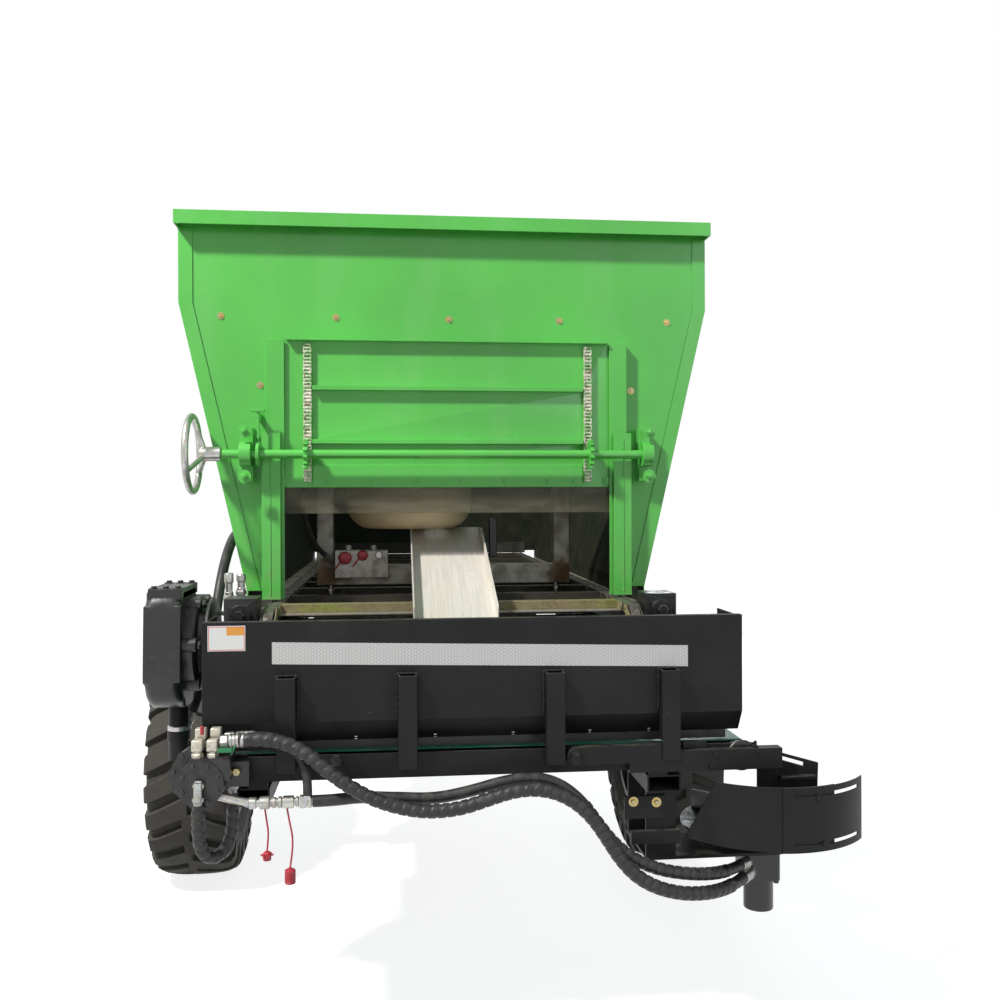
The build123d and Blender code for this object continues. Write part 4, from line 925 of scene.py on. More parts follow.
def tyre_lugs(bm, side, phase):
    """Ring of curved, tapered lugs, each from past the middle line over the shoulder of one side."""
    count = sizes().lug_count
    start, reach = -0.010, 0.175
    lug = bmesh.new()
    bmesh.ops.create_cube(lug, size=1)
    long_edges = [e for e in lug.edges if abs(e.verts[0].co.x - e.verts[1].co.x) > 0.5]
    bmesh.ops.subdivide_edges(lug, edges=long_edges, cuts=8, use_grid_fill=True)
    for vert in lug.verts:
        share = vert.co.x + 0.5
        along = start + share * (reach - start)
        x, radius, out_x, out_r = section_point(along)
        x = math.copysign(x, along)
        if vert.co.z > 0:
            height = sizes().lug_height * (0.35 + 0.65 * clamped((reach - along) / 0.05))
            half_width = 0.032 - 0.007 * share
        else:
            height = -0.006
            half_width = 0.037 - 0.007 * share
        bow = 0.032 - 0.064 * clamped(along / 0.13) ** 1.2
        angle = phase + (bow + vert.co.y * 2 * half_width) / 0.37
        x = min(x + out_x * height, TYRE_HALF - 0.0005)
        r = min(radius + out_r * height, TYRE_RADIUS - 0.0003)
        vert.co = Vector((side * x, r * math.sin(angle), r * math.cos(angle)))
    bmesh.ops.spin(
        lug, geom=[*lug.verts, *lug.edges, *lug.faces], cent=(0, 0, 0), axis=RIGHT,
        angle=math.tau * (count - 1) / count, steps=count - 1, use_duplicate=True)
    mesh = bpy.data.meshes.new("lugs")
    lug.to_mesh(mesh)
    lug.free()
    bm.from_mesh(mesh)
    bpy.data.meshes.remove(mesh)


def make_tyre(node, body, sign):
    """A tyre's shell with its lugs, made on the right and mirrored for the left."""
    bm = bmesh.new()
    rows = [(-x, r) for x, r in reversed(TYRE_SECTION)] + [*TYRE_SECTION[1:]]
    rows = [(-TYRE_SECTION[-1][0], BEAD_RADIUS), *rows, (TYRE_SECTION[-1][0], BEAD_RADIUS)]
    lathe(bm, rows, Vector((0, 0, 0)), RIGHT, 96)
    tyre_lugs(bm, 1, 0.0)
    tyre_lugs(bm, -1, math.pi / sizes().lug_count)
    if sign < 0:
        bmesh.ops.scale(bm, vec=(-1, 1, 1), verts=bm.verts)
    centre = Vector((sign * TYRE_CENTRE.x, TYRE_CENTRE.y, TYRE_CENTRE.z))
    bmesh.ops.translate(bm, vec=centre, verts=bm.verts)
    piece = to_piece(bm, node + "_tread", "tyre_rubber", body, 38, 0.0018, 1)
    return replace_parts(piece, node)


# Operators, one for each group of pieces
class SpreaderOperator(bpy.types.Operator):
    bl_options = {"REGISTER", "UNDO"}

    def execute(self, context):
        self.make()
        return {"FINISHED"}


class SPREADER_OT_running_gear(SpreaderOperator):
    """Tyres with lugs, dusty rims and the axle beam"""
    bl_idname = "spreader.running_gear"
    bl_label = "Running gear"

    def make(self):
        for side, sign in (("right", 1), ("left", -1)):
            make_tyre("tyre_" + side, "wheel_" + side, sign)
            dress("wheel_" + side, "wheel_enamel", 0.0015)
        dress("axle_beam", "black_enamel", 0.002)


class SPREADER_OT_chassis(SpreaderOperator):
    """Rails, cross beams, sills, drawbar, hitch and jack"""
    bl_idname = "spreader.chassis"
    bl_label = "Chassis"

    def make(self):
        for node in ("chassis_rails", "chassis_crossmembers", "hopper_sills", "drawbar", "conveyor_tubes",
                     "jack_tube"):
            dress(node, "black_enamel", 0.002)
        dress("hitch_eye", "galvanised", 0.003)
        dress("jack_leg", "galvanised", 0.0015)


class SPREADER_OT_hopper(SpreaderOperator):
    """Green walls, panels and rim, with the panel's bolts"""
    bl_idname = "spreader.hopper"
    bl_label = "Hopper"

    def make(self):
        inward = {
            "hopper_right_wall": -RIGHT, "hopper_left_wall": RIGHT, "hopper_front_wall": BACK,
            "hopper_rear_panel": -BACK, "hopper_right_cheek": -BACK, "hopper_left_cheek": -BACK,
        }
        for node, direction in inward.items():
            flush = "panel" in node or "cheek" in node
            dress(node, "green_enamel", 0 if flush else sizes().edge_round, inside=direction)
        dress("hopper_rim", "green_enamel", sizes().edge_round)
        dress("hopper_floor", "bare_steel", 0.0005)
        bm = bmesh.new()
        slab(bm, at(-0.5, 2.24, 1.0225), at(0.5, 2.2458, 1.075))
        to_piece(bm, "front_seal", "black_rubber", bevel=0.0005)
        seats = [at(x, 0, 1.796) for x in (-0.619, -0.31, 0.0, 0.31, 0.619)]
        seats += [at(-0.515, 0, 1.609), at(0.515, 0, 1.601)]
        bolts("panel_bolts", seats, BACK, sizes().panel_bolt, "yellow_zinc")


class SPREADER_OT_gate(SpreaderOperator):
    """Gate, guides, flap and lift gear"""
    bl_idname = "spreader.gate"
    bl_label = "Gate and lift"

    def make(self):
        dress("gate", "green_enamel", 0.001)
        dress("gate_guides", "green_enamel", 0.001)
        dress("gate_flap", "flap_rubber", 0.0006)
        dress("lift_shaft", "green_enamel", 0.0004)
        dress("lift_bearings", "green_enamel", 0.003)
        dress("handwheel", "galvanised", 0.0004, smooth=50)
        self.racks()
        gate_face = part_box("gate")[1].y - REAR_Y - 0.010
        strip_x = (-0.453, -0.332, -0.210, -0.087, 0.033, 0.154, 0.275, 0.350, 0.440)
        seats = [at(x, gate_face, 1.347) for x in strip_x]
        bolts("strip_bolts", seats, BACK, 0.010, "green_enamel", frame["nodes"]["gate"]["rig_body"])
        seats = [at(x, -0.092, z) for x in (-0.544, 0.544) for z in (1.358, 1.478)]
        bolts("bearing_bolts", seats, BACK, 0.017, "green_enamel", thread=0.008)
        seams = [(at(x, -0.0405, 1.04), at(x, -0.0405, 1.46)) for x in (-0.484, 0.484)]
        welds("guide_seams", seams, 0.004, "green_enamel")

    def racks(self):
        """Roller chains on the gate: paired side plates, rollers and pin ends."""
        pitch = 0.009525
        low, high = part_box("gate_rack_chains")
        count = round((high.z - low.z) / pitch)
        pin_y = low.y + 0.0085
        bm = bmesh.new()
        for sign in (-1, 1):
            middle = sign * (high.x - 0.0115)
            slab(bm, Vector((middle - 0.0095, pin_y + 0.004, low.z + 0.002)),
                 Vector((middle + 0.0095, high.y, high.z - 0.002)))
            for index in range(count):
                pin = Vector((middle, pin_y, low.z + (index + 0.5) * pitch))
                for half, radius, steps in ((0.0075, 0.0034, 10), (0.0115, 0.0018, 6)):
                    stick(bm, pin - RIGHT * half, pin + RIGHT * half, radius, steps)
                if index + 1 == count:
                    continue
                inset = 0 if index % 2 else 0.0022
                for offset in (inset - 0.0108, 0.0088 - inset):
                    foot = pin + RIGHT * offset
                    link_plate(bm, foot, foot + UP * pitch, 0.0044, 0.002)
        body = frame["nodes"]["gate_rack_chains"]["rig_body"]
        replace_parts(to_piece(bm, "rack_chains", "overspray_steel", body, 40, 0.0003, 1), "gate_rack_chains")


class SPREADER_OT_apron(SpreaderOperator):
    """Apron chains, shafts, bearings, gearbox and motor"""
    bl_idname = "spreader.apron"
    bl_label = "Apron"

    def make(self):
        dress("apron_chains", "chain_steel", 0.001)
        dress("apron_shafts", "chain_steel", 0.0008)
        dress("apron_bearings", "cast_enamel", 0.004)
        self.gearbox()
        dress("apron_motor", "black_enamel", 0.002)
        self.links()
        self.gearbox_screws()
        self.couplers()

    def links(self):
        """Link plates and pin ends along both sides of the two apron chains."""
        low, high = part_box("apron_chains")
        radius = (high.z - low.z) / 2 - 0.0105
        rear, front = low.y + radius + 0.0105, high.y - radius - 0.0105
        run = front - rear
        axis_z = (high.z + low.z) / 2
        loop = 2 * run + math.tau * radius
        count = round(loop / sizes().chain_pitch)

        def spot(share):
            """Point on the loop, whose two halves are the same but for half a turn."""
            along = share % 1 * loop
            sign = 1
            if along >= loop / 2:
                sign, along = -1, along - loop / 2
            y, z = along - run / 2, radius
            if along >= run:
                turn = (along - run) / radius
                y, z = run / 2 + radius * math.sin(turn), radius * math.cos(turn)
            return Vector((0, (rear + front) / 2 + sign * y, axis_z + sign * z))

        bm = bmesh.new()
        for sign in (-1, 1):
            middle = sign * (high.x - 0.012)
            for index in range(count):
                first, second = spot(index / count), spot((index + 1) / count)
                gap = 0.0125 + 0.003 * (index % 2)
                for face in (middle - gap - 0.003, middle + gap):
                    link_plate(bm, first + RIGHT * face, second + RIGHT * face, 0.0118, 0.003)
                pin = first + RIGHT * middle
                stick(bm, pin - RIGHT * 0.0205, pin + RIGHT * 0.0205, 0.0045, 8)
        to_piece(bm, "apron_links", "chain_steel", smooth=40)

    def gearbox(self):
        """Cast case with a big-radius foot and a flat cover, on a round neck with bolt lugs."""
        rear, front, bottom, head, lean = -0.361, -0.137, 0.794, 1.076, 0.012
        corners = ((rear - lean / 2, bottom, 0.095), (front, bottom, 0.095), (front, head, 0.04),
                   (rear + lean, head, 0.04))
        outline = []
        for index, (y, z, radius) in enumerate(corners):
            corner = Vector((y, z))
            before, after = [Vector(corners[(index + step) % 4][:2]) - corner for step in (-1, 1)]
            start, end = corner + before.normalized() * radius, corner + after.normalized() * radius
            for step in range(9):
                share = step / 8
                outline.append(start * (1 - share) ** 2 + corner * 2 * share * (1 - share) + end * share ** 2)
        case_low, case_high = -0.741, -0.655
        bm = bmesh.new()
        rings = [[bm.verts.new(at(x, y, z)) for y, z in outline] for x in (case_low, case_high)]
        caps = [bm.faces.new(ring) for ring in rings]
        for index, vert in enumerate(rings[0]):
            bm.faces.new((vert, rings[0][index - 1], rings[1][index - 1], rings[1][index]))
        round_edges(bm, list({edge for cap in caps for edge in cap.edges}), 0.024, 5)
        slab(bm, at(case_low + 0.008, rear + 0.02, head - 0.016), at(case_high, front - 0.01, head + 0.0095))
        neck = at(case_high, -0.215, 0.94)
        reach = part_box("apron_gearbox")[1].x - case_high
        rows = [(-0.01, 0), (-0.01, 0.118), (0.022, 0.118), (0.026, 0.114), (0.03, 0.1), (reach - 0.012, 0.096),
                (reach - 0.008, 0.112), (reach - 0.001, 0.112), (reach, 0.11), (reach, 0)]
        lathe(bm, rows, neck, RIGHT, 48)
        rows = [(-0.006, 0), (-0.006, 0.017), (0.032, 0.017), (0.034, 0.015), (0.034, 0)]
        for angle in (118, 175, 232, 300, 60):
            seat = neck + outward(math.radians(angle), "yz") * 0.114
            lathe(bm, rows, seat, RIGHT, 20)
            hexagon(bm, seat + RIGHT * 0.034, RIGHT, 0.019, 0.010)
        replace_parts(to_piece(bm, "gearbox_case", "cast_enamel", bevel=0.0015), "apron_gearbox")

    def gearbox_screws(self):
        """Screws of the case's cover, bolts of the rear bearings and the band round the motor."""
        seats = [at(x, y, 1.0855) for x in (-0.722, -0.694, -0.666) for y in (-0.327, -0.163)]
        bolts("cover_screws", seats, UP, 0.012, "cast_enamel")
        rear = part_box("apron_bearings")[0].y
        bm = bmesh.new()
        for x in (-0.531, 0.531):
            hexagon(bm, Vector((x, rear, 1.012)), BACK, 0.024, 0.012)
        to_piece(bm, "gear_bolts", "cast_enamel", smooth=30, bevel=0.0006)
        bm = bmesh.new()
        rows = [(0, 0), (0, 0.0245), (0.002, 0.0265), (0.012, 0.0265), (0.014, 0.0245), (0.014, 0)]
        lathe(bm, rows, at(-0.689, -0.215, 0.722), UP, 40)
        to_piece(bm, "motor_band", "galvanised")

    def couplers(self):
        """Two upright couplers with hexagons, beside the left rear bearing."""
        profile = ((0, 0), (0, 0.0085), (0.2, 0.0085), (0.22, 0.0115), (0.5, 0.0115), (0.52, 0.0095),
                   (0.74, 0.0095), (0.76, 0.012), (0.96, 0.012), (1, 0.010), (1, 0))
        bm = bmesh.new()
        for x, foot, head in ((-0.579, 1.006, 1.107), (-0.548, 1.030, 1.104)):
            start, size = at(x, -0.13, foot), head - foot
            lathe(bm, [(share * size, radius) for share, radius in profile], start, UP, 20)
            hexagon(bm, start + UP * size * 0.28, UP, 0.025, size * 0.16)
        slab(bm, at(-0.6, -0.142, 0.998), at(-0.54, -0.118, 1.008))
        to_piece(bm, "lift_couplers", "galvanised", smooth=30, bevel=0.0005)


class SPREADER_OT_trough(SpreaderOperator):
    """Hood with its strip, blank plate and brackets"""
    bl_idname = "spreader.trough"
    bl_label = "Trough"

    def make(self):
        dress("trough_hood", "black_enamel", 0.002, segments=3)
        dress("trough_skirt", "black_rubber", 0.0008)
        dress("hood_brackets", "black_enamel", 0.002)
        bm = bmesh.new()
        corners = ((-0.424, 0.930), (0.527, 0.906), (0.527, 0.955), (-0.424, 0.979))
        sheet = bm.faces.new([bm.verts.new(at(x, -0.51, z)) for x, z in corners])
        raised = bmesh.ops.extrude_face_region(bm, geom=[sheet])["geom"]
        verts = [item for item in raised if isinstance(item, bmesh.types.BMVert)]
        bmesh.ops.translate(bm, vec=Vector((0, -0.0005, 0)), verts=verts)
        to_piece(bm, "hood_strip", "reflective_tape")
        bm = bmesh.new()
        slab(bm, Vector((SIGN_LOW.x, at(0, -0.5108, 0).y, SIGN_LOW.z)), SIGN_HIGH)
        to_piece(bm, "hood_plate", "plate_white", bevel=0.0003)
        seams = []
        for x in (-0.392, -0.123, 0.212, 0.480):
            seams += [(at(x + edge, -0.511, 0.81), at(x + edge, -0.511, 0.9)) for edge in (-0.0235, 0.0235)]
            seams.append((at(x - 0.02, -0.511, 0.903), at(x + 0.02, -0.511, 0.903)))
        welds("bracket_seams", seams, 0.006, "black_enamel")
        seats = [at(x, -0.4805, 0.761) for x in (-0.42, -0.24, -0.06, 0.12, 0.30, 0.44)]
        bolts("skirt_screws", seats, BACK, 0.009, "galvanised")


class SPREADER_OT_cross_belt(SpreaderOperator):
    """Belt, its frame, drums and motor"""
    bl_idname = "spreader.cross_belt"
    bl_label = "Cross belt"

    def make(self):
        dress("belt", "belt_green", 0.0005)
        dress("belt_frame", "black_enamel", 0.0015)
        dress("belt_drums", "bare_steel", 0.0008)
        dress("belt_motor", "cast_enamel", 0.002)
        self.fittings()
        self.motor_face()

    def motor_face(self):
        """Bolts round the motor's front plate and its gear case, a plug on its side and two port covers."""
        bm = bmesh.new()
        plate, case, plate_bolts = at(-0.565, -0.6, 0.691), at(-0.573, -0.558, 0.7), 8
        for index in range(plate_bolts):
            turn = math.tau * (index + 0.5) / plate_bolts
            bolt(bm, plate + outward(turn, "xz") * 0.0395, BACK, 0.011)
        for turn in (0.9, 1.6, 2.3, 3.0, 3.7):
            bolt(bm, case + outward(turn, "xz") * 0.0555, BACK, 0.010)
        hexagon(bm, at(-0.282, -0.515, 0.714), BACK, 0.024, 0.014)
        to_piece(bm, "motor_bolts", "cast_enamel", smooth=30)
        bm = bmesh.new()
        hexagon(bm, at(-0.495, -0.554, 0.706), BACK, 0.017, 0.012)
        to_piece(bm, "motor_plug", "yellow_zinc", smooth=30, bevel=0.0008)
        bm = bmesh.new()
        stick(bm, at(-0.566, -0.566, 0.79), at(-0.566, -0.566, 0.808), 0.0042, 14)
        to_piece(bm, "red_plug", "red_plastic", bevel=0.001)
        bm = bmesh.new()
        slab(bm, at(-0.528, -0.601, 0.758), at(-0.498, -0.593, 0.766))
        stick(bm, at(-0.5, -0.597, 0.752), at(-0.49, -0.597, 0.774), 0.002, 10)
        to_piece(bm, "port_clip", "clip_green", bevel=0.001)

    def fittings(self):
        """Elbows with nuts on the motor, the coupler line, and the ends of every hose."""
        bm = bmesh.new()
        half = Vector((0.0115, 0.0115, 0))
        for x, y, z in ((-0.574, -0.576, 0.744), (-0.542, -0.576, 0.744), (-0.572, -0.544, 0.762),
                        (-0.540, -0.544, 0.762)):
            foot = at(x, y, z)
            hexagon(bm, foot, UP, 0.0225, 0.009)
            stick(bm, foot + UP * 0.006, foot + UP * 0.02, 0.0085, 16)
            block = slab(bm, foot - half + UP * 0.013, foot + half + UP * 0.038)
            round_edges(bm, edges_of(block), 0.003, 3)
        elbows = to_piece(bm, "port_elbows", "brass_cream", smooth=30)
        bm = bmesh.new()
        for name, last, overlap, radius, size in (
                ("hose_coupler", False, 0.012, 0.0095, 0.066), ("hose_lift", True, 0.02, 0.012, 0.04),
                ("hose_spinner_feed", False, 0.012, 0.0125, 0.052),
                ("hose_spinner_feed", True, 0.012, 0.0125, 0.064),
                ("hose_spinner_return", True, 0.012, 0.0115, 0.064)):
            tip, way = tip_of(name, last)
            ferrule(bm, tip - way * overlap, way, radius, size)
        tip, way = tip_of("hose_additive", True)
        stick(bm, tip - way * 0.01, tip + way * 0.038, 0.0088, 14)
        for start, end, radius, steps in (
                ((-0.54, -0.575, 0.662), (-0.466, -0.575, 0.641), 0.0095, 18),
                ((-0.466, -0.575, 0.641), (-0.33, -0.575, 0.641), 0.0092, 18),
                ((-0.566, -0.6, 0.691), (-0.566, -0.617, 0.691), 0.0085, 16),
                ((-0.566, -0.616, 0.652), (-0.566, -0.616, 0.7), 0.0092, 18),
                ((-0.505, -0.541, 0.655), (-0.505, -0.541, 0.69), 0.0095, 18),
                ((-0.605, 0.3, 1.206), (-0.605, 0.33, 1.206), 0.0105, 18),
                ((-0.404, 0.036, 1.385), (-0.404, 0.036, 1.4), 0.0085, 14)):
            stick(bm, at(*start), at(*end), radius, steps)
        line = at(-0.466, -0.575, 0.641)
        for start, end, radius in ((0.0, 0.016, 0.0125), (0.022, 0.044, 0.0138), (0.048, 0.058, 0.0118),
                                   (0.062, 0.070, 0.0128), (0.072, 0.096, 0.0138), (0.1, 0.106, 0.012),
                                   (0.126, 0.134, 0.0142)):
            size = end - start
            rows = [(0, 0), (0, radius * 0.9), (0.0012, radius), (size - 0.0012, radius), (size, radius * 0.9),
                    (size, 0)]
            lathe(bm, rows, line + RIGHT * start, RIGHT, 24)
        for seat, way, flats, height in (
                ((-0.358, -0.575, 0.641), RIGHT, 0.026, 0.016), ((-0.341, -0.575, 0.645), UP, 0.02, 0.010),
                ((-0.566, -0.604, 0.691), BACK, 0.0225, 0.010), ((-0.566, -0.616, 0.668), -UP, 0.021, 0.010),
                ((-0.505, -0.541, 0.672), -UP, 0.021, 0.010), ((-0.605, 0.328, 1.206), BACK, 0.024, 0.012)):
            hexagon(bm, at(*seat), way, flats, height)
        ends = to_piece(bm, "hose_ends", "galvanised", smooth=30, bevel=0.0003, segments=1)
        for piece in (elbows, ends):
            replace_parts(piece, "hose_fittings")


class SPREADER_OT_spinner(SpreaderOperator):
    """Arm, curved guards, disc, carrier and motor"""
    bl_idname = "spreader.spinner"
    bl_label = "Spinner"

    def make(self):
        for node in ("spinner_arm", "spinner_guard_fixed", "spinner_guard_slide", "spinner_carrier"):
            dress(node, "black_enamel", 0.001)
        dress("spinner_motor", "cast_enamel", 0.002)
        dress("spinner_disc", "cast_enamel", 0.0008)
        bolts("flange_bolts", [at(0.402, -0.488, 0.588), at(0.457, -0.488, 0.585)], BACK, 0.011, "yellow_zinc")
        self.plates()
        bm = bmesh.new()
        rows = [(0, 0), (0, 0.0175), (0.002, 0.0185), (0.004, 0.0185), (0.005, 0.017), (0.005, 0)]
        lathe(bm, rows, at(0.256, -0.535, 0.71), BACK, 36)
        hexagon(bm, at(0.256, -0.547, 0.71), BACK, 0.020, 0.011)
        for x, z in ((0.585, 0.704), (0.690, 0.702), (0.470, 0.710)):
            bolt(bm, at(x, -0.535, z), BACK, 0.008)
        stick(bm, at(0.684, -0.523, 0.712), at(0.684, -0.523, 0.731), 0.0035, 12)
        hexagon(bm, at(0.684, -0.523, 0.716), UP, 0.011, 0.005)
        hexagon(bm, at(0.575, -0.535, 0.677), BACK, 0.010, 0.006)
        to_piece(bm, "arm_bolts", "black_enamel", smooth=30, bevel=0.0006)
        self.guard_bolts()
        self.bearing_ring()

    def plates(self):
        """Slotted deflector beside the arm, the carrier's bolt plate and the motor's port block."""
        bm = bmesh.new()
        outline = ((0.745, 0.560), (0.745, 0.700), (0.842, 0.672), (0.838, 0.560))
        slot = ((0.752, 0.681), (0.752, 0.690), (0.806, 0.674), (0.806, 0.665))
        rings = [[bm.verts.new(at(x, y, z)) for x, z in (*outline, *slot)] for y in (-0.511, -0.505)]
        for ring in rings:
            for first, second in zip(range(4), (1, 2, 3, 0)):
                bm.faces.new((ring[first], ring[second], ring[4 + second], ring[4 + first]))
        for loop in (range(4), range(4, 8)):
            for first, second in zip(loop, (*loop[1:], loop[0])):
                bm.faces.new((rings[0][first], rings[0][second], rings[1][second], rings[1][first]))
        slab(bm, at(0.512, -0.519, 0.714), at(0.568, -0.511, 0.734))
        slab(bm, at(0.381, -0.488, 0.547), at(0.479, -0.4802, 0.6))
        slab(bm, at(0.395, -0.496, 0.490), at(0.512, -0.4802, 0.520))
        to_piece(bm, "slotted_plates", "black_enamel", bevel=0.0012)
        bm = bmesh.new()
        block = slab(bm, at(0.697, -0.424, 0.361), at(0.785, -0.336, 0.432))
        upright = [e for e in edges_of(block) if abs(e.verts[0].co.z - e.verts[1].co.z) > 0.01]
        round_edges(bm, upright, 0.010, 4)
        for angle in (45, 135, 225, 315):
            seat = at(0.743, -0.38, 0.361) + outward(math.radians(angle)) * 0.047
            hexagon(bm, seat, -UP, 0.013, 0.008)
        to_piece(bm, "spinner_ports", "cast_enamel", bevel=0.0015)

    def bearing_ring(self):
        """Ring of the belt's right-hand bearing."""
        bm = bmesh.new()
        centre = at(0.655, -0.51, 0.696)
        rows = [(0, 0.012), (0, 0.035), (0.004, 0.036), (0.006, 0.034), (0.006, 0.026), (0.003, 0.025),
                (0.003, 0.018), (0.006, 0.017), (0.006, 0.012)]
        lathe(bm, rows + rows[:1], centre, BACK, 36)
        to_piece(bm, "bearing_ring", "cast_enamel", smooth=40)

    def guard_bolts(self):
        """Bolts in the sliding guard's slots."""
        bm = bmesh.new()
        for angle, z in ((281, 0.622), (285, 0.520)):
            out = outward(math.radians(angle))
            bolt(bm, at(0.743, -0.38, z) + out * 0.2495, out, 0.011)
        to_piece(bm, "guard_bolts", "black_enamel", smooth=30)


class SPREADER_OT_additive(SpreaderOperator):
    """Frame, bowl, chute and valve block inside the hopper"""
    bl_idname = "spreader.additive"
    bl_label = "Additive unit"

    def make(self):
        dress("additive_frame", "frame_steel", 0.003)
        dress("additive_bowl", "cream_plastic", 0.002, smooth=50)
        dress("additive_chute", "stainless", 0.0008)
        dress("additive_valve", "valve_grey", 0.002)
        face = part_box("additive_valve")[0].y - REAR_Y
        bm = bmesh.new()
        for x, z, radius in ((-0.299, 1.122, 0.019), (-0.247, 1.129, 0.016)):
            rows = [(0, 0), (0, radius * 0.9), (0.002, radius), (0.008, radius), (0.010, radius * 0.88),
                    (0.013, radius * 0.8), (0.0145, radius * 0.5), (0.0145, 0)]
            lathe(bm, rows, at(x, face, z), BACK, 28)
            stick(bm, at(x - 0.004, face - 0.006, z), at(x - 0.03, face - 0.008, z - 0.034), 0.0022, 8)
        to_piece(bm, "port_caps", "red_plastic", smooth=50, bevel=0.0005)
        bm = bmesh.new()
        hexagon(bm, at(-0.199, face, 1.130), BACK, 0.019, 0.009)
        rows = [(0, 0), (0, 0.013), (0.004, 0.0145), (0.006, 0.0145), (0.008, 0.006), (0.046, 0.006),
                (0.046, 0)]
        for x in (-0.346, 0.346):
            lathe(bm, rows, at(x, 0.3, 0.99), UP, 20)
            hexagon(bm, at(x, 0.3, 1.018), UP, 0.018, 0.009)
        to_piece(bm, "frame_feet", "galvanised", smooth=30)
        bm = bmesh.new()
        slab(bm, at(0.139, 0.3, 1.116), at(0.163, 0.324, 1.234))
        to_piece(bm, "outlet_post", "cast_enamel", bevel=0.003)


class SPREADER_OT_hoses(SpreaderOperator):
    """Hydraulic hoses with spiral wraps, cap cords and dust caps"""
    bl_idname = "spreader.hoses"
    bl_label = "Hoses and cords"

    def make(self):
        caps = {"cap_cord_short": star_cap(), "cap_cord_long": plain_cap()}
        wrapped = {
            "hose_spinner_feed": (0.0, 1.29, 0.72),
            "hose_spinner_return": (0.62, 1.06, 0.72),
            "hose_motor_loop": (0.01, 0.27, 0.78),
        }
        for name, (radius, points) in HOSES.items():
            piece, line = make_hose(name)
            if name in wrapped:
                start, end, band = wrapped[name]
                end = min(end, line_length(line) - 0.01)
                spiral_wrap(name + "_wrap", line, radius, start, end, sizes().wrap_pitch, band)
            cap_cord = name.startswith("cap")
            paint(piece, "red_plastic" if cap_cord else "hose_rubber")
            line_length(line)


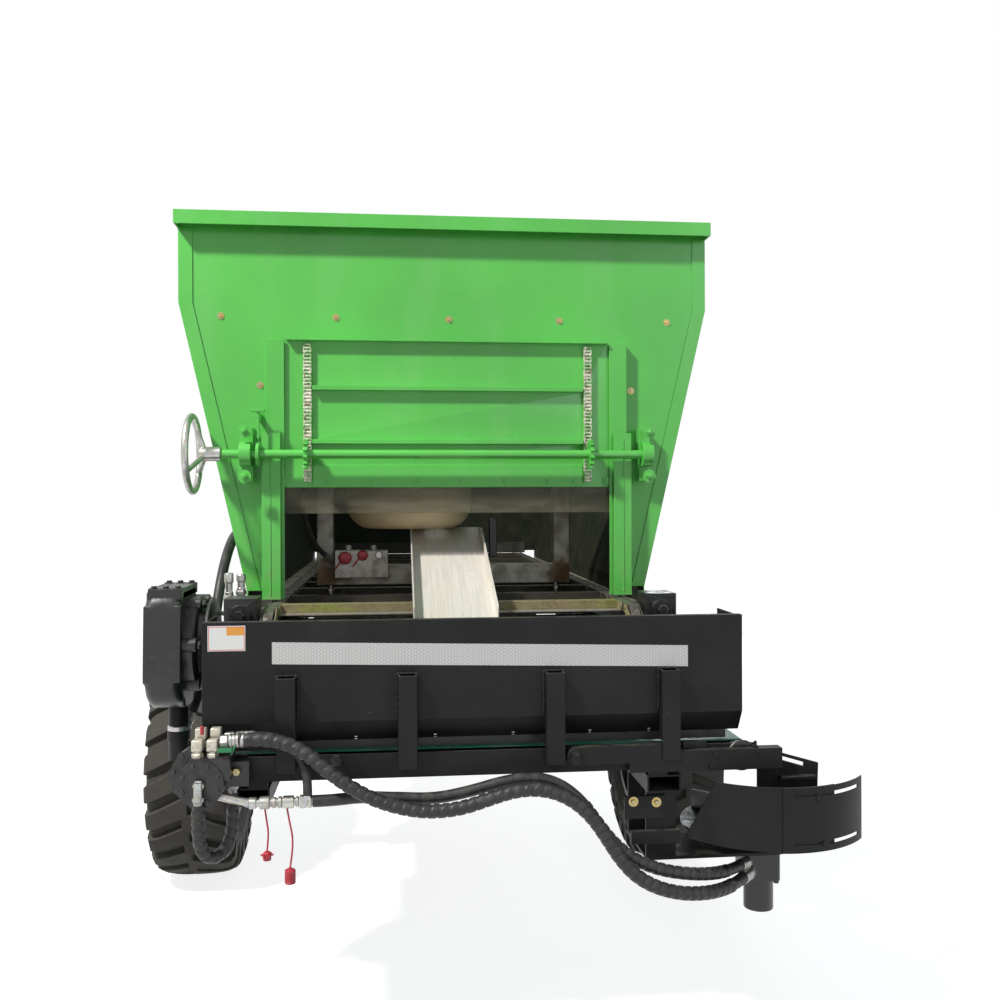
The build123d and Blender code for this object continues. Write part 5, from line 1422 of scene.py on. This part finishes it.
class SPREADER_OT_stage(SpreaderOperator):
    """Pale floor, soft lamps and the camera behind the machine"""
    bl_idname = "spreader.stage"
    bl_label = "Stage"

    def make(self):
        scene = bpy.context.scene
        scene.view_settings.view_transform = "Standard"
        self.camera(scene)
        self.floor(scene)
        self.world(scene)
        lamps = (
            ("key_lamp", at(-3.7, -2.65, 6.15), 0.5, 560, (1, 0.98, 0.94)),
            ("fill_lamp", at(3.6, -4.6, 2.6), 3.0, 40, (0.85, 0.93, 1)),
            ("front_lamp", at(1.5, 6.5, 2.2), 2.0, 90, (0.9, 0.95, 1)),
        )
        aim_at = at(0, 0.6, 1.0)
        for name, place, size, power, tint in lamps:
            light = bpy.data.lights.new(name, "AREA")
            light.size = size
            light.energy = power
            light.color = tint
            lamp = bpy.data.objects.new(name, light)
            lamp.matrix_world = Matrix.Translation(place) @ (
                (aim_at - place).to_track_quat("-Z", "Y").to_matrix().to_4x4())
            scene.collection.objects.link(lamp)

    def camera(self, scene):
        """Camera behind the machine, where the photo was taken from."""
        data = bpy.data.cameras.new("camera")
        data.lens = 36
        data.sensor_width = 36
        camera = bpy.data.objects.new("camera", data)
        yaw, pitch, roll = 0.1037, -0.0024, -0.0033
        ahead = Vector((math.sin(yaw) * math.cos(pitch), math.cos(yaw) * math.cos(pitch), math.sin(pitch)))
        right = Vector((math.cos(yaw), -math.sin(yaw), 0))
        up = right.cross(ahead)
        turned_right = right * math.cos(roll) + up * math.sin(roll)
        turned_up = up * math.cos(roll) - right * math.sin(roll)
        axes = Matrix((turned_right, turned_up, -ahead)).transposed().to_4x4()
        camera.matrix_world = Matrix.Translation(at(-0.1478, -2.78, 1.3)) @ axes
        scene.collection.objects.link(camera)
        scene.camera = camera

    def floor(self, scene):
        """Floor that lights the machine as grey and shows nearly white."""
        bm = bmesh.new()
        bmesh.ops.create_grid(bm, x_segments=1, y_segments=1, size=60)
        mesh = bpy.data.meshes.new("floor")
        bm.to_mesh(mesh)
        bm.free()
        floor = bpy.data.objects.new("floor", mesh)
        scene.collection.objects.link(floor)
        lit = Finish("pale_floor")
        lit.feed(base_color=(0.35, 0.35, 0.35, 1), roughness=0.9)
        shown = lit.node("ShaderNodeBsdfPrincipled", inputs={
            "Base Color": (0.5, 0.5, 0.5, 1), "Roughness": 0.9, "Emission Color": (1, 1, 1, 1),
            "Emission Strength": 0.82})
        mixed = lit.node("ShaderNodeMixShader", inputs={
            0: lit.backdrop_rays(), 1: Wire(lit, lit.surface.outputs[0]), 2: shown})
        lit.fill(lit.output.inputs["Surface"], mixed)
        mesh.materials.append(lit.material)

    def world(self, scene):
        """Faint blue light from all round, which shows as white."""
        world = bpy.data.worlds.new("studio")
        world.use_nodes = True
        graph = Graph(world.node_tree)
        light, shown = [
            graph.node("ShaderNodeBackground", inputs={"Color": (*tint, 1), "Strength": strength})
            for tint, strength in (((0.78, 0.89, 1), 0.26), ((1, 1, 1), 1.0))]
        mixed = graph.node("ShaderNodeMixShader", inputs={0: graph.backdrop_rays(), 1: light, 2: shown})
        graph.node("ShaderNodeOutputWorld", inputs={"Surface": mixed})
        scene.world = world


OPERATORS = (
    SPREADER_OT_stage,
    SPREADER_OT_hoses,
    SPREADER_OT_running_gear,
    SPREADER_OT_chassis,
    SPREADER_OT_hopper,
    SPREADER_OT_gate,
    SPREADER_OT_apron,
    SPREADER_OT_trough,
    SPREADER_OT_cross_belt,
    SPREADER_OT_spinner,
    SPREADER_OT_additive,
)


class SPREADER_PT_panel(bpy.types.Panel):
    """Sidebar list of the spreader's pieces"""
    bl_idname = "SPREADER_PT_panel"
    bl_label = "Manure spreader"
    bl_space_type = "VIEW_3D"
    bl_region_type = "UI"
    bl_category = "Spreader"

    def draw(self, context):
        for operator in OPERATORS:
            self.layout.operator(operator.bl_idname)


CLASSES = (SpreaderSizes, SpreaderColours, *OPERATORS, SPREADER_PT_panel)


def register():
    for item in CLASSES:
        bpy.utils.register_class(item)
    bpy.types.Scene.spreader_sizes = bpy.props.PointerProperty(type=SpreaderSizes)
    bpy.types.Scene.spreader_colours = bpy.props.PointerProperty(type=SpreaderColours)


def unregister():
    del bpy.types.Scene.spreader_colours
    del bpy.types.Scene.spreader_sizes
    for item in reversed(CLASSES):
        bpy.utils.unregister_class(item)


def main():
    register()
    for operator in OPERATORS:
        group, name = operator.bl_idname.split(".")
        getattr(getattr(bpy.ops, group), name)()


if __name__ == "__main__":
    main()
